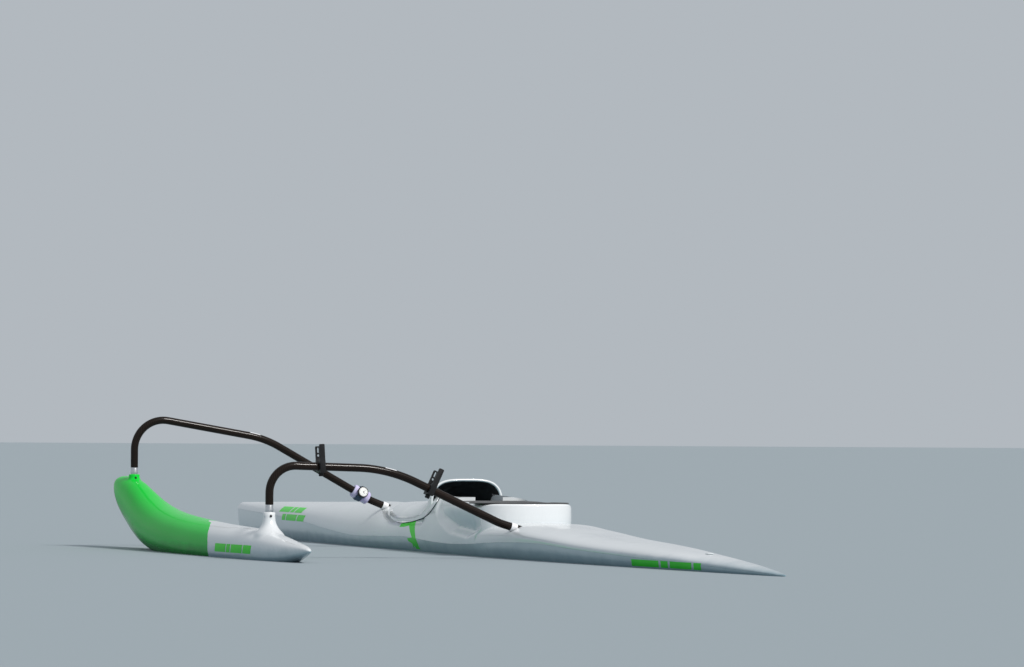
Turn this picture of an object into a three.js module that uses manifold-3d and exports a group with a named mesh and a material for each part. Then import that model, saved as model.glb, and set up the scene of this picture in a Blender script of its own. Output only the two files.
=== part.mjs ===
// A one-person racing outrigger canoe: a decked hull with a seat box and a covered footwell,
// and a float (the ama) held out to port by two bent crossbeams (the iakos).
// Millimetres. +X to the bow, +Y to port, +Z up, origin amidships on the hull's centreline
// at the waterline.
import * as THREE from "three";
import { mergeVertices } from "three/addons/utils/BufferGeometryUtils.js";
import Module from "manifold-3d";

const wasm = await Module();
wasm.setup();

const GAP = 0.3; // between pieces that touch
const PAST = 30; // how far a cutting solid runs past what it cuts

// Hull
const HULL_HALF_LENGTH = 3070;
const BILGE_ANGLE = (66 * Math.PI) / 180; // how far round its ellipse the bottom has come at the chine
const BOTTOM_STEPS = 7; // per side, keel to chine
const TOPSIDE_STEPS = 13; // per side, chine to crown
const STATION_STEP = 120;
const SCOOP_LOW = 0.7; // under 1, the scoop in the side is deepest below its middle

// Cockpit. bow: how far the rounded back of the seat reaches forward before its sides run straight.
const SEAT_BOX = { aft: -772, fore: -200, halfWidth: 187, bow: 150, corner: 0 };
const SEAT_BOX_LIP = 8; // radius of the rounded edge along its top
const LIP_STEPS = 3;
const SEAT = { aft: -750, fore: -285, halfWidth: 142, bow: 130, corner: 45, floor: 156 };
const FOOTWELL = { aft: -290, fore: 520, halfWidth: 104, bow: 50, corner: 50, floor: -44 };
const BOW_SQUARENESS = 2.3; // of the seat's rounded back, where 2 is an ellipse
const BOW_STEPS = 8; // per side
const CORNER_STEPS = 4;
const UNDER_SEAT_STEP = 60;
// The room cut free beside the seat box. ledge: height above the chine down to which it is cut.
const BESIDE_SEAT = { fore: -560, halfWidth: 200, ledge: 8 };
const TUB_WALL = 5;
const COCKPIT_TOP = 320; // above everything that the cockpit is cut through
const PAD = { thickness: 36, clearance: 4 };

// Cowl over the footwell
const COWL_AFT_X = -32;
const COWL_WALL = 6;
const COWL_SKIRT = 3; // how far its skirt stands proud of the hull
const RIM_OVERLAP = 1; // of the skirt and the rim

// Crossbeams and float
// The float's line in plan: a point on it, and how far it toes out for each millimetre forward
const FLOAT_LINE = { x: -1006, y: 1044, toe: 0.0182 };
const floatY = (x) => FLOAT_LINE.y + (x - FLOAT_LINE.x) * FLOAT_LINE.toe;
const TUBE_RADIUS = 14;
const TUBE_SIDES = 12;
const TUBE_STEP = 30;
const ROUND_SIDES = 20; // of small round pieces and holes
const INSERT = { radius: 13.5, shown: 26, sunk: 52 }; // bare metal end in the float's post
const BAND = { length: 22, thickness: 1.4, fromMouth: 8 }; // tape round a tube, at the hull
const POCKET = { radius: 18, length: 125, sunk: 9 }; // the scallop in the deck at a tube's mouth
// bossTop: top of the float's post.
// outline: y, z, bend radius of each corner of the tube's centreline, from float to hull.
const IAKOS = [
  {
    name: "front",
    x: 730,
    bossTop: 278,
    outline: [
      [1075.6, 304, 0],
      [1075.6, 505, 112],
      [561, 417, 385],
      [139, 182, 291],
      [-17, 121, 0],
    ],
  },
  {
    name: "rear",
    x: -1006,
    bossTop: 163,
    outline: [
      [1044, 189, 0],
      [1044, 325, 92],
      [617, 313, 540],
      [209, 125, 200],
      [96, 91, 0],
    ],
  },
];
// The button in a post that locks the metal end. out: how far it stands proud; down: below the post's top.
const BUTTON = { radius: 4, out: 3, sunk: 3.2, down: 13, fromAxis: 21 };
const BUTTON_FACES = new THREE.Vector3(-1, 0, 0);

// Paddle rests on the rear crossbeam, each at its own y
const REST_YS = [861, 463];
const REST = { width: 19, block: 21, prongThickness: 8, gap: 42, knobRadius: 8.5, knobLength: 12 };
// side: which way along x; reach: from the tube's centre to the tip
const PRONGS = [
  { side: 1, reach: 70 },
  { side: -1, reach: 78 },
];

// Instrument on the front crossbeam
const WATCH_Y = 175;
const SLEEVE = { y: 177, length: 70, radius: 25 };
const STRAP = { length: 25, thickness: 3 };
const WATCH = { radius: 21.5, height: 11, dialRadius: 17.5, dialHeight: 1.6 };
const WATCH_FACES = new THREE.Vector3(-0.95, 0.2, 0.36); // back towards the paddler, and a little up

// Steering
const RUDDER_X = -2450;
const RUDDER = { chord: 118, ahead: 34, depth: 165, thickness: 11, topClearance: 12, sweep: 34 };
const RUDDER_NARROWS = 0.42; // share of its chord that is lost at the tip
const RUDDER_THINS = 0.35; // share of its thickness
const RUDDER_ROWS = 6;
const FOIL_POINTS = 9; // per side
const POST = { radius: 5, sunkInBlade: 60, belowDeck: 15 };
const BEARING = { outer: 9, inner: 5.4, aboveKeel: 8, belowPostTop: 4 };
const CAP = { radius: 13, stem: 8, thickness: 1.5, lift: 1.4, overPost: 3 };
const PEDAL = { x: 372, z: -12, height: 112, width: 74, thickness: 9, gapFromCentre: 11, hubRadius: 11 };
const PEDAL_AXLE_RADIUS = 5;
const BRACKET = { length: 46, height: 44, thickness: 6 };

const INK = {
  white: 0xf2f4f6,
  green: 0x2fae4a,
  black: 0x15120f,
  silver: 0xb9bdc2,
  foam: 0x23252a,
  grey: 0x5c6168,
  lilac: 0xb9b6dd,
  navy: 0x1d2b44,
};

function paint(color, roughness, metalness = 0) {
  return new THREE.MeshStandardMaterial({ color, roughness, metalness });
}
const gelcoat = () => paint(INK.white, 0.22);
const carbon = () => paint(INK.black, 0.28);
const moulding = () => paint(INK.foam, 0.55);

// Solids and geometries
function solidOf(geometry) {
  const bare = geometry.clone();
  bare.deleteAttribute("normal");
  bare.deleteAttribute("uv");
  const merged = mergeVertices(bare, 1e-3);
  return new wasm.Manifold(
    new wasm.Mesh({
      numProp: 3,
      vertProperties: new Float32Array(merged.attributes.position.array),
      triVerts: new Uint32Array(merged.index.array),
    }),
  );
}

function geometryOf(solid) {
  const mesh = solid.getMesh();
  const geometry = new THREE.BufferGeometry();
  geometry.setAttribute("position", new THREE.BufferAttribute(new Float32Array(mesh.vertProperties), 3));
  geometry.setIndex(new THREE.BufferAttribute(new Uint32Array(mesh.triVerts), 1));
  geometry.computeVertexNormals();
  return geometry;
}

const canoe = new THREE.Group();

function add(name, solid, material) {
  const mesh = new THREE.Mesh(geometryOf(solid), material);
  mesh.name = name;
  canoe.add(mesh);
}

// A closed skin over rings of equally many points, each ring a list of Vector3 in order round it
function loft(rings) {
  const count = rings[0].length;
  const points = rings.flat();
  const indices = [];
  for (let r = 0; r + 1 < rings.length; r++) {
    for (let i = 0; i < count; i++) {
      const a = r * count + i;
      const b = r * count + ((i + 1) % count);
      indices.push(a, b, a + count, b, b + count, a + count);
    }
  }
  const ends = [rings[0], rings[rings.length - 1]];
  ends.forEach((ring, end) => {
    const centre = new THREE.Vector3();
    ring.forEach((p) => centre.addScaledVector(p, 1 / count));
    const middle = points.push(centre) - 1;
    const first = end === 0 ? 0 : (rings.length - 1) * count;
    for (let i = 0; i < count; i++) {
      const a = first + i;
      const b = first + ((i + 1) % count);
      indices.push(...(end === 0 ? [b, a, middle] : [a, b, middle]));
    }
  });
  const geometry = new THREE.BufferGeometry().setFromPoints(points);
  geometry.setIndex(indices);
  const solid = solidOf(geometry);
  if (solid.volume() > 0) return solid;
  for (let i = 0; i < indices.length; i += 3) indices.splice(i + 1, 2, indices[i + 2], indices[i + 1]);
  geometry.setIndex(indices);
  return solidOf(geometry);
}

// Smooth reading of a table: rows in falling x, each row's own slopes kept monotone
function reader(columns, rows) {
  const table = rows.map((row) => Object.fromEntries(columns.map((name, i) => [name, row[i]])));
  const slope = (i, name) => (table[i + 1][name] - table[i][name]) / (table[i + 1].x - table[i].x);
  const tangent = (i, name) => {
    if (i === 0) return slope(0, name);
    if (i === table.length - 1) return slope(i - 1, name);
    const before = slope(i - 1, name);
    const after = slope(i, name);
    return before * after <= 0 ? 0 : (2 * before * after) / (before + after);
  };
  const at = (x) => {
    let i = 0;
    while (i < table.length - 2 && x < table[i + 1].x) i++;
    const width = table[i + 1].x - table[i].x;
    const t = (x - table[i].x) / width;
    const read = {};
    for (const name of columns) {
      const a = table[i][name];
      const b = table[i + 1][name];
      const ta = tangent(i, name) * width;
      const tb = tangent(i + 1, name) * width;
      read[name] = a + t * (ta + t * (3 * (b - a) - 2 * ta - tb + t * (2 * (a - b) + ta + tb)));
    }
    return read;
  };
  const stations = (step) => {
    const xs = [];
    for (let i = 0; i + 1 < table.length; i++) {
      const pieces = Math.max(1, Math.round((table[i].x - table[i + 1].x) / step));
      for (let k = 0; k < pieces; k++) xs.push(table[i].x + ((table[i + 1].x - table[i].x) * k) / pieces);
    }
    xs.push(table[table.length - 1].x);
    return xs;
  };
  return { at, stations };
}

// The hull's form. beam and chine: the widest line; crown: the deck's centreline;
// top: half width that the side leans to; fullness: 2 is an ellipse, more is squarer;
// waist: how far the side is scooped in.
const hullForm = reader(
  ["x", "beam", "chine", "crown", "top", "fullness", "waist", "keel"],
  [
    [HULL_HALF_LENGTH, 8, 104, 117, 8, 2, 0, 58],
    [3052, 13, 110, 132, 13, 2, 0, 22],
    [3010, 19, 111, 141, 19, 2, 0, -12],
    [2900, 30, 109, 143, 30, 2, 0, -47],
    [2600, 57, 104, 148, 57, 2, 0, -84],
    [2150, 91, 95, 155, 91, 2, 0, -110],
    [1700, 120, 81, 161, 120, 2.1, 0, -124],
    [1250, 141, 56, 168, 141, 1.95, 0, -132],
    [850, 154, 42, 174, 154, 1.8, 0, -136],
    [640, 159, 45, 172, 156, 1.8, 0, -137],
    [500, 162, 47, 167, 158, 1.8, 0, -138],
    [210, 166, 52, 162, 152, 2.4, 0, -138],
    [60, 168, 48, 168, 146, 2.8, 0, -138],
    [-34, 170, 44, 226, 137, 4, 8, -138],
    [-180, 173, 40, 214, 152, 5, 28, -137],
    [-350, 177, 38, 202, 168, 7, 44, -136],
    [-560, 182, 42, 192, 177, 8, 42, -134],
    [-675, 184, 46, 188, 179, 9, 22, -132],
    [-740, 184, 49, 188, 180, 9, 4, -131],
    [SEAT_BOX.aft - 10, 184, 52, 188, 180, 9, 0, -130],
    [SEAT_BOX.aft - 11, 184, 52, 122, 180, 3.2, 0, -130],
    [-1000, 181, 58, 122, 178, 3.2, 0, -126],
    [-1200, 172, 60, 112, 172, 2.9, 0, -121],
    [-1650, 147, 46, 89, 147, 2.5, 0, -106],
    [-2100, 113, 33, 73, 113, 2.3, 0, -86],
    [-2450, 81, 25, 53, 81, 2.2, 0, -64],
    [-2780, 47, 14, 32, 47, 2.1, 0, -36],
    [-2970, 23, 7, 16, 23, 2, 0, -16],
    [-HULL_HALF_LENGTH, 5, 1, 6, 5, 2, 0, -4],
  ],
);

// The aft deck's surface carried on forward under the seat box, in the same columns
const underSeatForm = reader(
  ["x", "beam", "chine", "crown", "top", "fullness", "waist", "keel"],
  [
    [-420, 184, 20, 50, 178, 3.2, 0, -140],
    [-560, 184, 42, 100, 178, 3.2, 0, -140],
    [-676, 184, 46, 117, 178, 3.2, 0, -140],
    [SEAT_BOX.aft - 40, 184, 52, 122, 180, 3.2, 0, -140],
  ],
);

// Half a section from keel to crown as [y, z]; grow is a skin added outside it
function halfSection(form, grow) {
  const half = [];
  for (let i = 0; i <= BOTTOM_STEPS; i++) {
    const angle = (BILGE_ANGLE * i) / BOTTOM_STEPS;
    const rise = (Math.cos(angle) - Math.cos(BILGE_ANGLE)) / (1 - Math.cos(BILGE_ANGLE));
    const out = Math.sin(angle) / Math.sin(BILGE_ANGLE);
    half.push([form.beam * out, form.chine + (form.keel - form.chine) * rise]);
  }
  for (let i = 1; i <= TOPSIDE_STEPS; i++) {
    const angle = (Math.PI / 2) * (i / TOPSIDE_STEPS);
    const spread = Math.cos(angle) ** form.fullness + Math.sin(angle) ** form.fullness;
    const up = i === TOPSIDE_STEPS ? 1 : Math.sin(angle) * spread ** (-1 / form.fullness);
    const out = i === TOPSIDE_STEPS ? 0 : Math.cos(angle) * spread ** (-1 / form.fullness);
    const scoop = form.waist * Math.sin(Math.PI * up ** SCOOP_LOW) ** 2;
    const side = form.beam + (form.top - form.beam) * up;
    half.push([Math.max(0, side * out - scoop * out), form.chine + (form.crown - form.chine) * up]);
  }
  return half.map(([y, z], i) => {
    const outward = y > 0 ? grow : 0;
    const upward = i > BOTTOM_STEPS ? grow : 0;
    const downward = i === 0 ? grow : 0;
    return [y + outward, z + upward - downward];
  });
}

function ringFromHalf(x, half, centreY = 0) {
  const port = half.map(([y, z]) => new THREE.Vector3(x, centreY + y, z));
  const starboard = half.slice(1, -1).map(([y, z]) => new THREE.Vector3(x, centreY - y, z));
  return [...port, ...starboard.reverse()];
}

// What stands beside and behind the rounded back of the seat box, above the deck, and is cut away
function besideSeat() {
  const { fore, halfWidth, ledge } = BESIDE_SEAT;
  const room = { aft: SEAT_BOX.aft - PAST, fore, halfWidth, bow: 1, corner: 1 };
  const around = roundedBlock(room, 0, ledge, COCKPIT_TOP);
  const wide = 2 * halfWidth;
  const stations = underSeatForm.stations(UNDER_SEAT_STEP);
  const deckUnder = loft(stations.map((x) => ringFromHalf(x, halfSection(underSeatForm.at(x), 0))));
  const low = loft(
    stations.map((x) => {
      const top = underSeatForm.at(x).chine + ledge;
      return [
        new THREE.Vector3(x, -wide, -wide),
        new THREE.Vector3(x, wide, -wide),
        new THREE.Vector3(x, wide, top),
        new THREE.Vector3(x, -wide, top),
      ];
    }),
  );
  return around.subtract(seatBox()).subtract(deckUnder).subtract(low);
}

// The seat box as a block stacked from outlines, drawn in round its top edge
function seatBox() {
  const crown = hullForm.at(SEAT_BOX.aft).crown;
  const levels = [[0, 0]];
  for (let i = 0; i <= LIP_STEPS; i++) {
    const angle = (Math.PI / 2) * (i / LIP_STEPS);
    levels.push([crown - SEAT_BOX_LIP * (1 - Math.sin(angle)), SEAT_BOX_LIP * (1 - Math.cos(angle))]);
  }
  levels.push([COCKPIT_TOP, SEAT_BOX_LIP]);
  return loft(
    levels.map(([z, inset]) => wellOutline(SEAT_BOX, -inset).map((p) => new THREE.Vector3(p.x, p.y, z))),
  );
}

function hullEnvelope(grow) {
  const stations = hullForm.stations(STATION_STEP);
  return loft(stations.map((x) => ringFromHalf(x, halfSection(hullForm.at(x), grow)))).subtract(besideSeat());
}

// Everything under the chine, to part hull from deck
function underChine(lift) {
  const margin = 40;
  const low = -400;
  return loft(
    hullForm.stations(STATION_STEP).map((x, i, xs) => {
      const z = hullForm.at(x).chine + lift;
      const wide = hullForm.at(x).beam + margin;
      const ends = i === 0 ? margin : i === xs.length - 1 ? -margin : 0;
      return [
        new THREE.Vector3(x + ends, -wide, low),
        new THREE.Vector3(x + ends, wide, low),
        new THREE.Vector3(x + ends, wide, z),
        new THREE.Vector3(x + ends, -wide, z),
      ];
    }),
  );
}

// The outline of a well seen from above: a rounded bow at its aft end, round corners at its fore end
function wellOutline(well, grow) {
  const half = well.halfWidth + grow;
  const fore = well.fore + grow;
  const bow = well.bow + grow;
  const corner = Math.max(well.corner + grow, 0);
  const port = [];
  for (let i = 0; i <= BOW_STEPS; i++) {
    const angle = (Math.PI / 2) * (i / BOW_STEPS);
    const forward = 1 - Math.cos(angle) ** (2 / BOW_SQUARENESS);
    const out = Math.sin(angle) ** (2 / BOW_SQUARENESS);
    port.push(new THREE.Vector2(well.aft - grow + bow * forward, half * out));
  }
  const cornerSteps = corner > 0 ? CORNER_STEPS : 0;
  for (let i = 0; i <= cornerSteps; i++) {
    const angle = cornerSteps ? (Math.PI / 2) * (i / cornerSteps) : 0;
    const back = corner * (1 - Math.sin(angle));
    port.push(new THREE.Vector2(fore - back, half - corner * (1 - Math.cos(angle))));
  }
  const starboard = port.slice(1).map((p) => new THREE.Vector2(p.x, -p.y));
  return [...port.reverse(), ...starboard];
}

function roundedBlock(well, grow, low, high) {
  const geometry = new THREE.ExtrudeGeometry(new THREE.Shape(wellOutline(well, grow)), {
    depth: high - low,
    bevelEnabled: false,
  });
  return solidOf(geometry.translate(0, 0, low));
}

const wellBlock = (well, skin) => roundedBlock(well, skin, well.floor - skin, COCKPIT_TOP);
const cockpit = (skin) => wellBlock(SEAT, skin).add(wellBlock(FOOTWELL, skin));

// The cowl's form: edge is its lowest height, half is its half width there
const cowlForm = reader(
  ["x", "half", "edge", "crest", "fullness"],
  [
    [720, 60, 126, 170, 2],
    [590, 112, 112, 178, 1.9],
    [466, 136, 100, 181, 1.85],
    [390, 144, 97, 184, 1.85],
    [324, 147, 97, 188, 1.8],
    [250, 149, 98, 195, 1.8],
    [180, 150, 101, 207, 1.75],
    [107, 150, 107, 226, 1.75],
    [30, 148, 122, 256, 2],
    [COWL_AFT_X, 143, 140, 272, 2.9],
  ],
);
const COWL_STEPS = 8;
const COWL_STEP = 50;
const COWL_FOOT = 40; // how far the sections reach down below the edge, to be trimmed
// The cowl's lower edge seen from the side, x and z, from its fore end back to the foot of the rim
const COWL_EDGE = [
  [655, 160],
  [617, 137],
  [513, 119],
  [394, 106],
  [301, 101],
  [194, 107],
  [119, 115],
  [50, 124],
  [-30, 138],
  [-62, 155],
  [-82, 174],
  [-89, 194],
  [COWL_AFT_X, 215],
];

function cowlBody(inset, aftReach) {
  const xs = cowlForm.stations(COWL_STEP);
  xs[xs.length - 1] -= aftReach;
  const rings = xs.map((x) => {
    const form = cowlForm.at(Math.max(x, COWL_AFT_X));
    const half = Math.max(form.half - inset, 1);
    const crest = form.crest - inset;
    const points = [[half, form.edge - COWL_FOOT - inset]];
    for (let i = 0; i <= COWL_STEPS; i++) {
      const angle = (Math.PI / 2) * (i / COWL_STEPS);
      const up = i === COWL_STEPS ? 1 : Math.sin(angle) ** (2 / form.fullness);
      const out = i === COWL_STEPS ? 0 : Math.cos(angle) ** (2 / form.fullness);
      points.push([half * out, form.edge + (crest - form.edge) * up]);
    }
    points.unshift([0, form.edge - COWL_FOOT - inset]);
    return ringFromHalf(x, points);
  });
  return loft(rings);
}

// Everything above the cowl's edge
function aboveCowlEdge() {
  const corners = [[COWL_AFT_X, COCKPIT_TOP], [COWL_EDGE[0][0], COCKPIT_TOP], ...COWL_EDGE];
  const shape = new THREE.Shape(corners.map(([x, z]) => new THREE.Vector2(x, z)));
  const width = 2 * BESIDE_SEAT.halfWidth;
  const geometry = new THREE.ExtrudeGeometry(shape, { depth: width, bevelEnabled: false });
  return solidOf(geometry.rotateX(Math.PI / 2).translate(0, width / 2, 0));
}

// A path of straight stretches and round bends in an upright plane, each corner [y, z, radius]
function bentPath(iako) {
  const place = (y, z) => new THREE.Vector3(iako.x, y, z);
  const path = new THREE.CurvePath();
  let start = place(...iako.outline[0]);
  for (let i = 1; i + 1 < iako.outline.length; i++) {
    const [y, z, radius] = iako.outline[i];
    const corner = place(y, z);
    const before = place(...iako.outline[i - 1]).sub(corner).normalize();
    const after = place(...iako.outline[i + 1]).sub(corner).normalize();
    const turn = Math.PI - before.angleTo(after);
    const cut = radius * Math.tan(turn / 2);
    const from = corner.clone().addScaledVector(before, cut);
    const to = corner.clone().addScaledVector(after, cut);
    path.add(new THREE.LineCurve3(start, from));
    path.add(new BendCurve(from, corner, to, radius, turn));
    start = to;
  }
  path.add(new THREE.LineCurve3(start, place(...iako.outline[iako.outline.length - 1])));
  return path;
}

class BendCurve extends THREE.Curve {
  constructor(from, corner, to, radius, turn) {
    super();
    const inward = from.clone().add(to).multiplyScalar(0.5).sub(corner).normalize();
    this.centre = corner.clone().addScaledVector(inward, radius / Math.cos(turn / 2));
    this.from = from.clone().sub(this.centre);
    this.axis = this.from.clone().cross(to.clone().sub(this.centre)).normalize();
    this.turn = turn;
  }
  getPoint(t, target = new THREE.Vector3()) {
    return target.copy(this.from).applyAxisAngle(this.axis, this.turn * t).add(this.centre);
  }
}

function circleShape(radius, sides) {
  const shape = new THREE.Shape();
  for (let i = 0; i < sides; i++) {
    const angle = (2 * Math.PI * (i + 0.5)) / sides;
    if (i === 0) shape.moveTo(radius * Math.cos(angle), radius * Math.sin(angle));
    else shape.lineTo(radius * Math.cos(angle), radius * Math.sin(angle));
  }
  return shape;
}

function tubeAlong(path, radius, steps) {
  const options = { steps, bevelEnabled: false, extrudePath: path };
  return solidOf(new THREE.ExtrudeGeometry(circleShape(radius, TUBE_SIDES), options));
}

// A solid turned about its own +Z from a closed profile of [radius, z], set at a place along a direction
function turned(profile, sides, place = new THREE.Vector3(), along = new THREE.Vector3(0, 0, 1)) {
  const points = profile.map(([r, z]) => new THREE.Vector2(r, z));
  const geometry = new THREE.LatheGeometry(points, sides);
  geometry.rotateX(Math.PI / 2);
  geometry.applyQuaternion(new THREE.Quaternion().setFromUnitVectors(new THREE.Vector3(0, 0, 1), along));
  geometry.translate(place.x, place.y, place.z);
  const solid = solidOf(geometry);
  if (solid.volume() > 0) return solid;
  const index = geometry.index.array;
  for (let i = 0; i < index.length; i += 3) [index[i + 1], index[i + 2]] = [index[i + 2], index[i + 1]];
  return solidOf(geometry);
}

const rod = (radius, low, high, sides, place, along) =>
  turned([[0, low], [radius, low], [radius, high], [0, high]], sides, place, along);
const sleeve = (inner, outer, low, high, sides, place, along) =>
  turned([[inner, low], [outer, low], [outer, high], [inner, high], [inner, low]], sides, place, along);

// A block of a given size, turned to a frame of three directions, at a place
function blockIn(frame, place, size) {
  const geometry = new THREE.BoxGeometry(size.x, size.y, size.z);
  geometry.applyMatrix4(new THREE.Matrix4().makeBasis(frame.x, frame.y, frame.z));
  geometry.translate(place.x, place.y, place.z);
  return solidOf(geometry);
}

// The crossbeams' paths, with the place and direction at a given y
const UPRIGHT_SHARE = 0.02; // of a path, at the float, over which y doesn't change
const HALVINGS = 40;

function onPath(path, y) {
  let low = UPRIGHT_SHARE;
  let high = 1;
  for (let i = 0; i < HALVINGS; i++) {
    const middle = (low + high) / 2;
    if (path.getPointAt(middle).y > y) low = middle;
    else high = middle;
  }
  return { t: low, place: path.getPointAt(low), along: path.getTangentAt(low).normalize() };
}

for (const iako of IAKOS) {
  iako.path = bentPath(iako);
  iako.length = iako.path.getLength();
  iako.end = iako.path.getPointAt(1);
  iako.endAlong = iako.path.getTangentAt(1).normalize();
}

// Where the tube comes out of the deck
function surfaceAt(iako) {
  for (let back = 1; back < iako.length / 2; back += 1) {
    const t = 1 - back / iako.length;
    const point = iako.path.getPointAt(t);
    const form = hullForm.at(point.x);
    const up = (point.z - form.chine) / (form.crown - form.chine);
    const out = up < 1 ? (1 - up ** form.fullness) ** (1 / form.fullness) : 0;
    if (up >= 1 || Math.abs(point.y) > (form.beam + (form.top - form.beam) * up) * out) return back;
  }
  return 0;
}

const envelope = hullEnvelope(0);
const grown = hullEnvelope(GAP);
for (const iako of IAKOS) {
  iako.sunk = surfaceAt(iako);
  iako.steps = Math.round(iako.length / TUBE_STEP);
  iako.bore = tubeAlong(iako.path, TUBE_RADIUS + GAP, iako.steps);
}
const socketBores = IAKOS.map((iako) => {
  const pocket = rod(
    POCKET.radius,
    -iako.sunk - POCKET.length,
    POCKET.sunk - iako.sunk,
    ROUND_SIDES,
    iako.end,
    iako.endAlong,
  );
  return iako.bore.add(pocket);
});
const rudderForm = hullForm.at(RUDDER_X);
const rudderAxis = new THREE.Vector3(RUDDER_X, 0, 0);
const rudderBore = rod(
  BEARING.outer + GAP,
  rudderForm.keel - PAST,
  rudderForm.crown + PAST,
  ROUND_SIDES,
  rudderAxis,
);

const cut = cockpit(TUB_WALL + GAP);
let deck = envelope.subtract(underChine(GAP)).subtract(cut).subtract(rudderBore);
let hull = envelope.intersect(underChine(0)).subtract(cut).subtract(rudderBore);
for (const bore of socketBores) {
  deck = deck.subtract(bore);
  hull = hull.subtract(bore);
}
add("deck", deck, gelcoat());
add("hull_bottom", hull, gelcoat());
const tub = cockpit(TUB_WALL).subtract(cockpit(0)).intersect(envelope);
add("cockpit_tub", tub, gelcoat());

const cowlSkirt = hullEnvelope(COWL_SKIRT).subtract(cowlBody(COWL_WALL, -RIM_OVERLAP)).subtract(cut);
const cowlShell = cowlBody(0, 0).subtract(cowlBody(COWL_WALL, PAST)).add(cowlSkirt);
const cowl = cowlShell.intersect(aboveCowlEdge()).subtract(grown);
add("cowl", cowl, gelcoat());

// Seat pad
add(
  "seat_pad",
  roundedBlock(SEAT, -PAD.clearance, SEAT.floor + GAP, SEAT.floor + PAD.thickness),
  moulding(),
);

// The float's form: half width, lowest and highest line, squareness
const amaForm = reader(
  ["x", "half", "bottom", "top", "fullness"],
  [
    [914, 26, 224, 256, 2.6],
    [898, 35, 196, 266, 2.6],
    [852, 43, 154, 271, 2.5],
    [774, 50, 112, 268, 2.4],
    [681, 56, 73, 255, 2.3],
    [588, 62, 41, 231, 2.3],
    [449, 70, 8, 195, 2.3],
    [263, 78, -18, 162, 2.3],
    [30, 84, -36, 139, 2.3],
    [-250, 86, -45, 124, 2.3],
    [-531, 84, -46, 113, 2.3],
    [-812, 76, -42, 106, 2.3],
    [-1000, 66, -36, 98, 2.3],
    [-1170, 52, -24, 83, 2.2],
    [-1302, 36, -8, 69, 2.2],
    [-1415, 20, 15, 57, 2.2],
    [-1467, 8, 34, 47, 2.2],
  ],
);
const AMA_STEPS = 12;
const AMA_STEP = 110;

function amaBody() {
  return loft(
    amaForm.stations(AMA_STEP).map((x) => {
      const form = amaForm.at(x);
      const middle = (form.top + form.bottom) / 2;
      const tall = (form.top - form.bottom) / 2;
      const half = [];
      for (let i = 0; i <= AMA_STEPS; i++) {
        const angle = -Math.PI / 2 + (Math.PI * i) / AMA_STEPS;
        const out = i === 0 || i === AMA_STEPS ? 0 : Math.cos(angle) ** (2 / form.fullness);
        const up = Math.sign(Math.sin(angle)) * Math.abs(Math.sin(angle)) ** (2 / form.fullness);
        half.push([form.half * out, middle + tall * up]);
      }
      return ringFromHalf(x, half, floatY(x));
    }),
  );
}

// The post that takes a crossbeam, flared into the float: half lengths along and across it against
// depth below its top. Each flare ends inside the float.
const POST_COLUMNS = ["along", "across", "depth"];
const POST_ROWS = {
  front: [
    [0.1, 0.1, 0],
    [18.5, 18.5, 0],
    [20.5, 20.5, -2],
    [22, 21.5, -20],
    [30, 26, -36],
    [44, 30, -60],
  ],
  rear: [
    [0.1, 0.1, 0],
    [18.5, 18.5, 0],
    [20.5, 20.5, -2],
    [22, 21.5, -20],
    [27, 24, -36],
    [36, 29, -49],
    [52, 36, -60],
    [78, 46, -72],
    [104, 52, -88],
  ],
};
const POST_SIDES = 24;

function amaPost(iako) {
  const rings = POST_ROWS[iako.name].map((row) => {
    const level = Object.fromEntries(POST_COLUMNS.map((name, i) => [name, row[i]]));
    return Array.from({ length: POST_SIDES }, (_, i) => {
      const angle = (2 * Math.PI * i) / POST_SIDES;
      return new THREE.Vector3(
        iako.x + level.along * Math.cos(angle),
        floatY(iako.x) + level.across * Math.sin(angle),
        iako.bossTop + level.depth,
      );
    });
  });
  return loft(rings);
}

let ama = amaBody();
for (const iako of IAKOS) {
  const top = new THREE.Vector3(iako.x, floatY(iako.x), iako.bossTop);
  const socket = rod(INSERT.radius + GAP, -INSERT.sunk - GAP, PAST, ROUND_SIDES, top);
  ama = ama.add(amaPost(iako)).subtract(socket);
  add(
    "ama_insert_" + iako.name,
    rod(INSERT.radius, -INSERT.sunk, INSERT.shown - GAP, ROUND_SIDES, top),
    paint(INK.silver, 0.35, 0.9),
  );
  add("iako_" + iako.name, tubeAlong(iako.path, TUBE_RADIUS, iako.steps), carbon());

  const bandSpot = 1 - (iako.sunk + BAND.fromMouth) / iako.length;
  const bandAt = iako.path.getPointAt(bandSpot);
  const bandAlong = iako.path.getTangentAt(bandSpot).normalize();
  const bandRadius = TUBE_RADIUS + GAP + BAND.thickness;
  const band = rod(bandRadius, -BAND.length / 2, BAND.length / 2, ROUND_SIDES, bandAt, bandAlong);
  add("iako_band_" + iako.name, band.subtract(iako.bore), paint(INK.white, 0.4));

  const buttonAt = top.clone().addScaledVector(BUTTON_FACES, BUTTON.fromAxis);
  buttonAt.z -= BUTTON.down;
  const recess = rod(BUTTON.radius + GAP, -BUTTON.sunk - GAP, PAST, ROUND_SIDES, buttonAt, BUTTON_FACES);
  ama = ama.subtract(recess);
  add(
    "lock_button_" + iako.name,
    rod(BUTTON.radius, -BUTTON.sunk, BUTTON.out, ROUND_SIDES, buttonAt, BUTTON_FACES),
    moulding(),
  );
}
add("ama", ama, paint(INK.green, 0.25));

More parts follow.
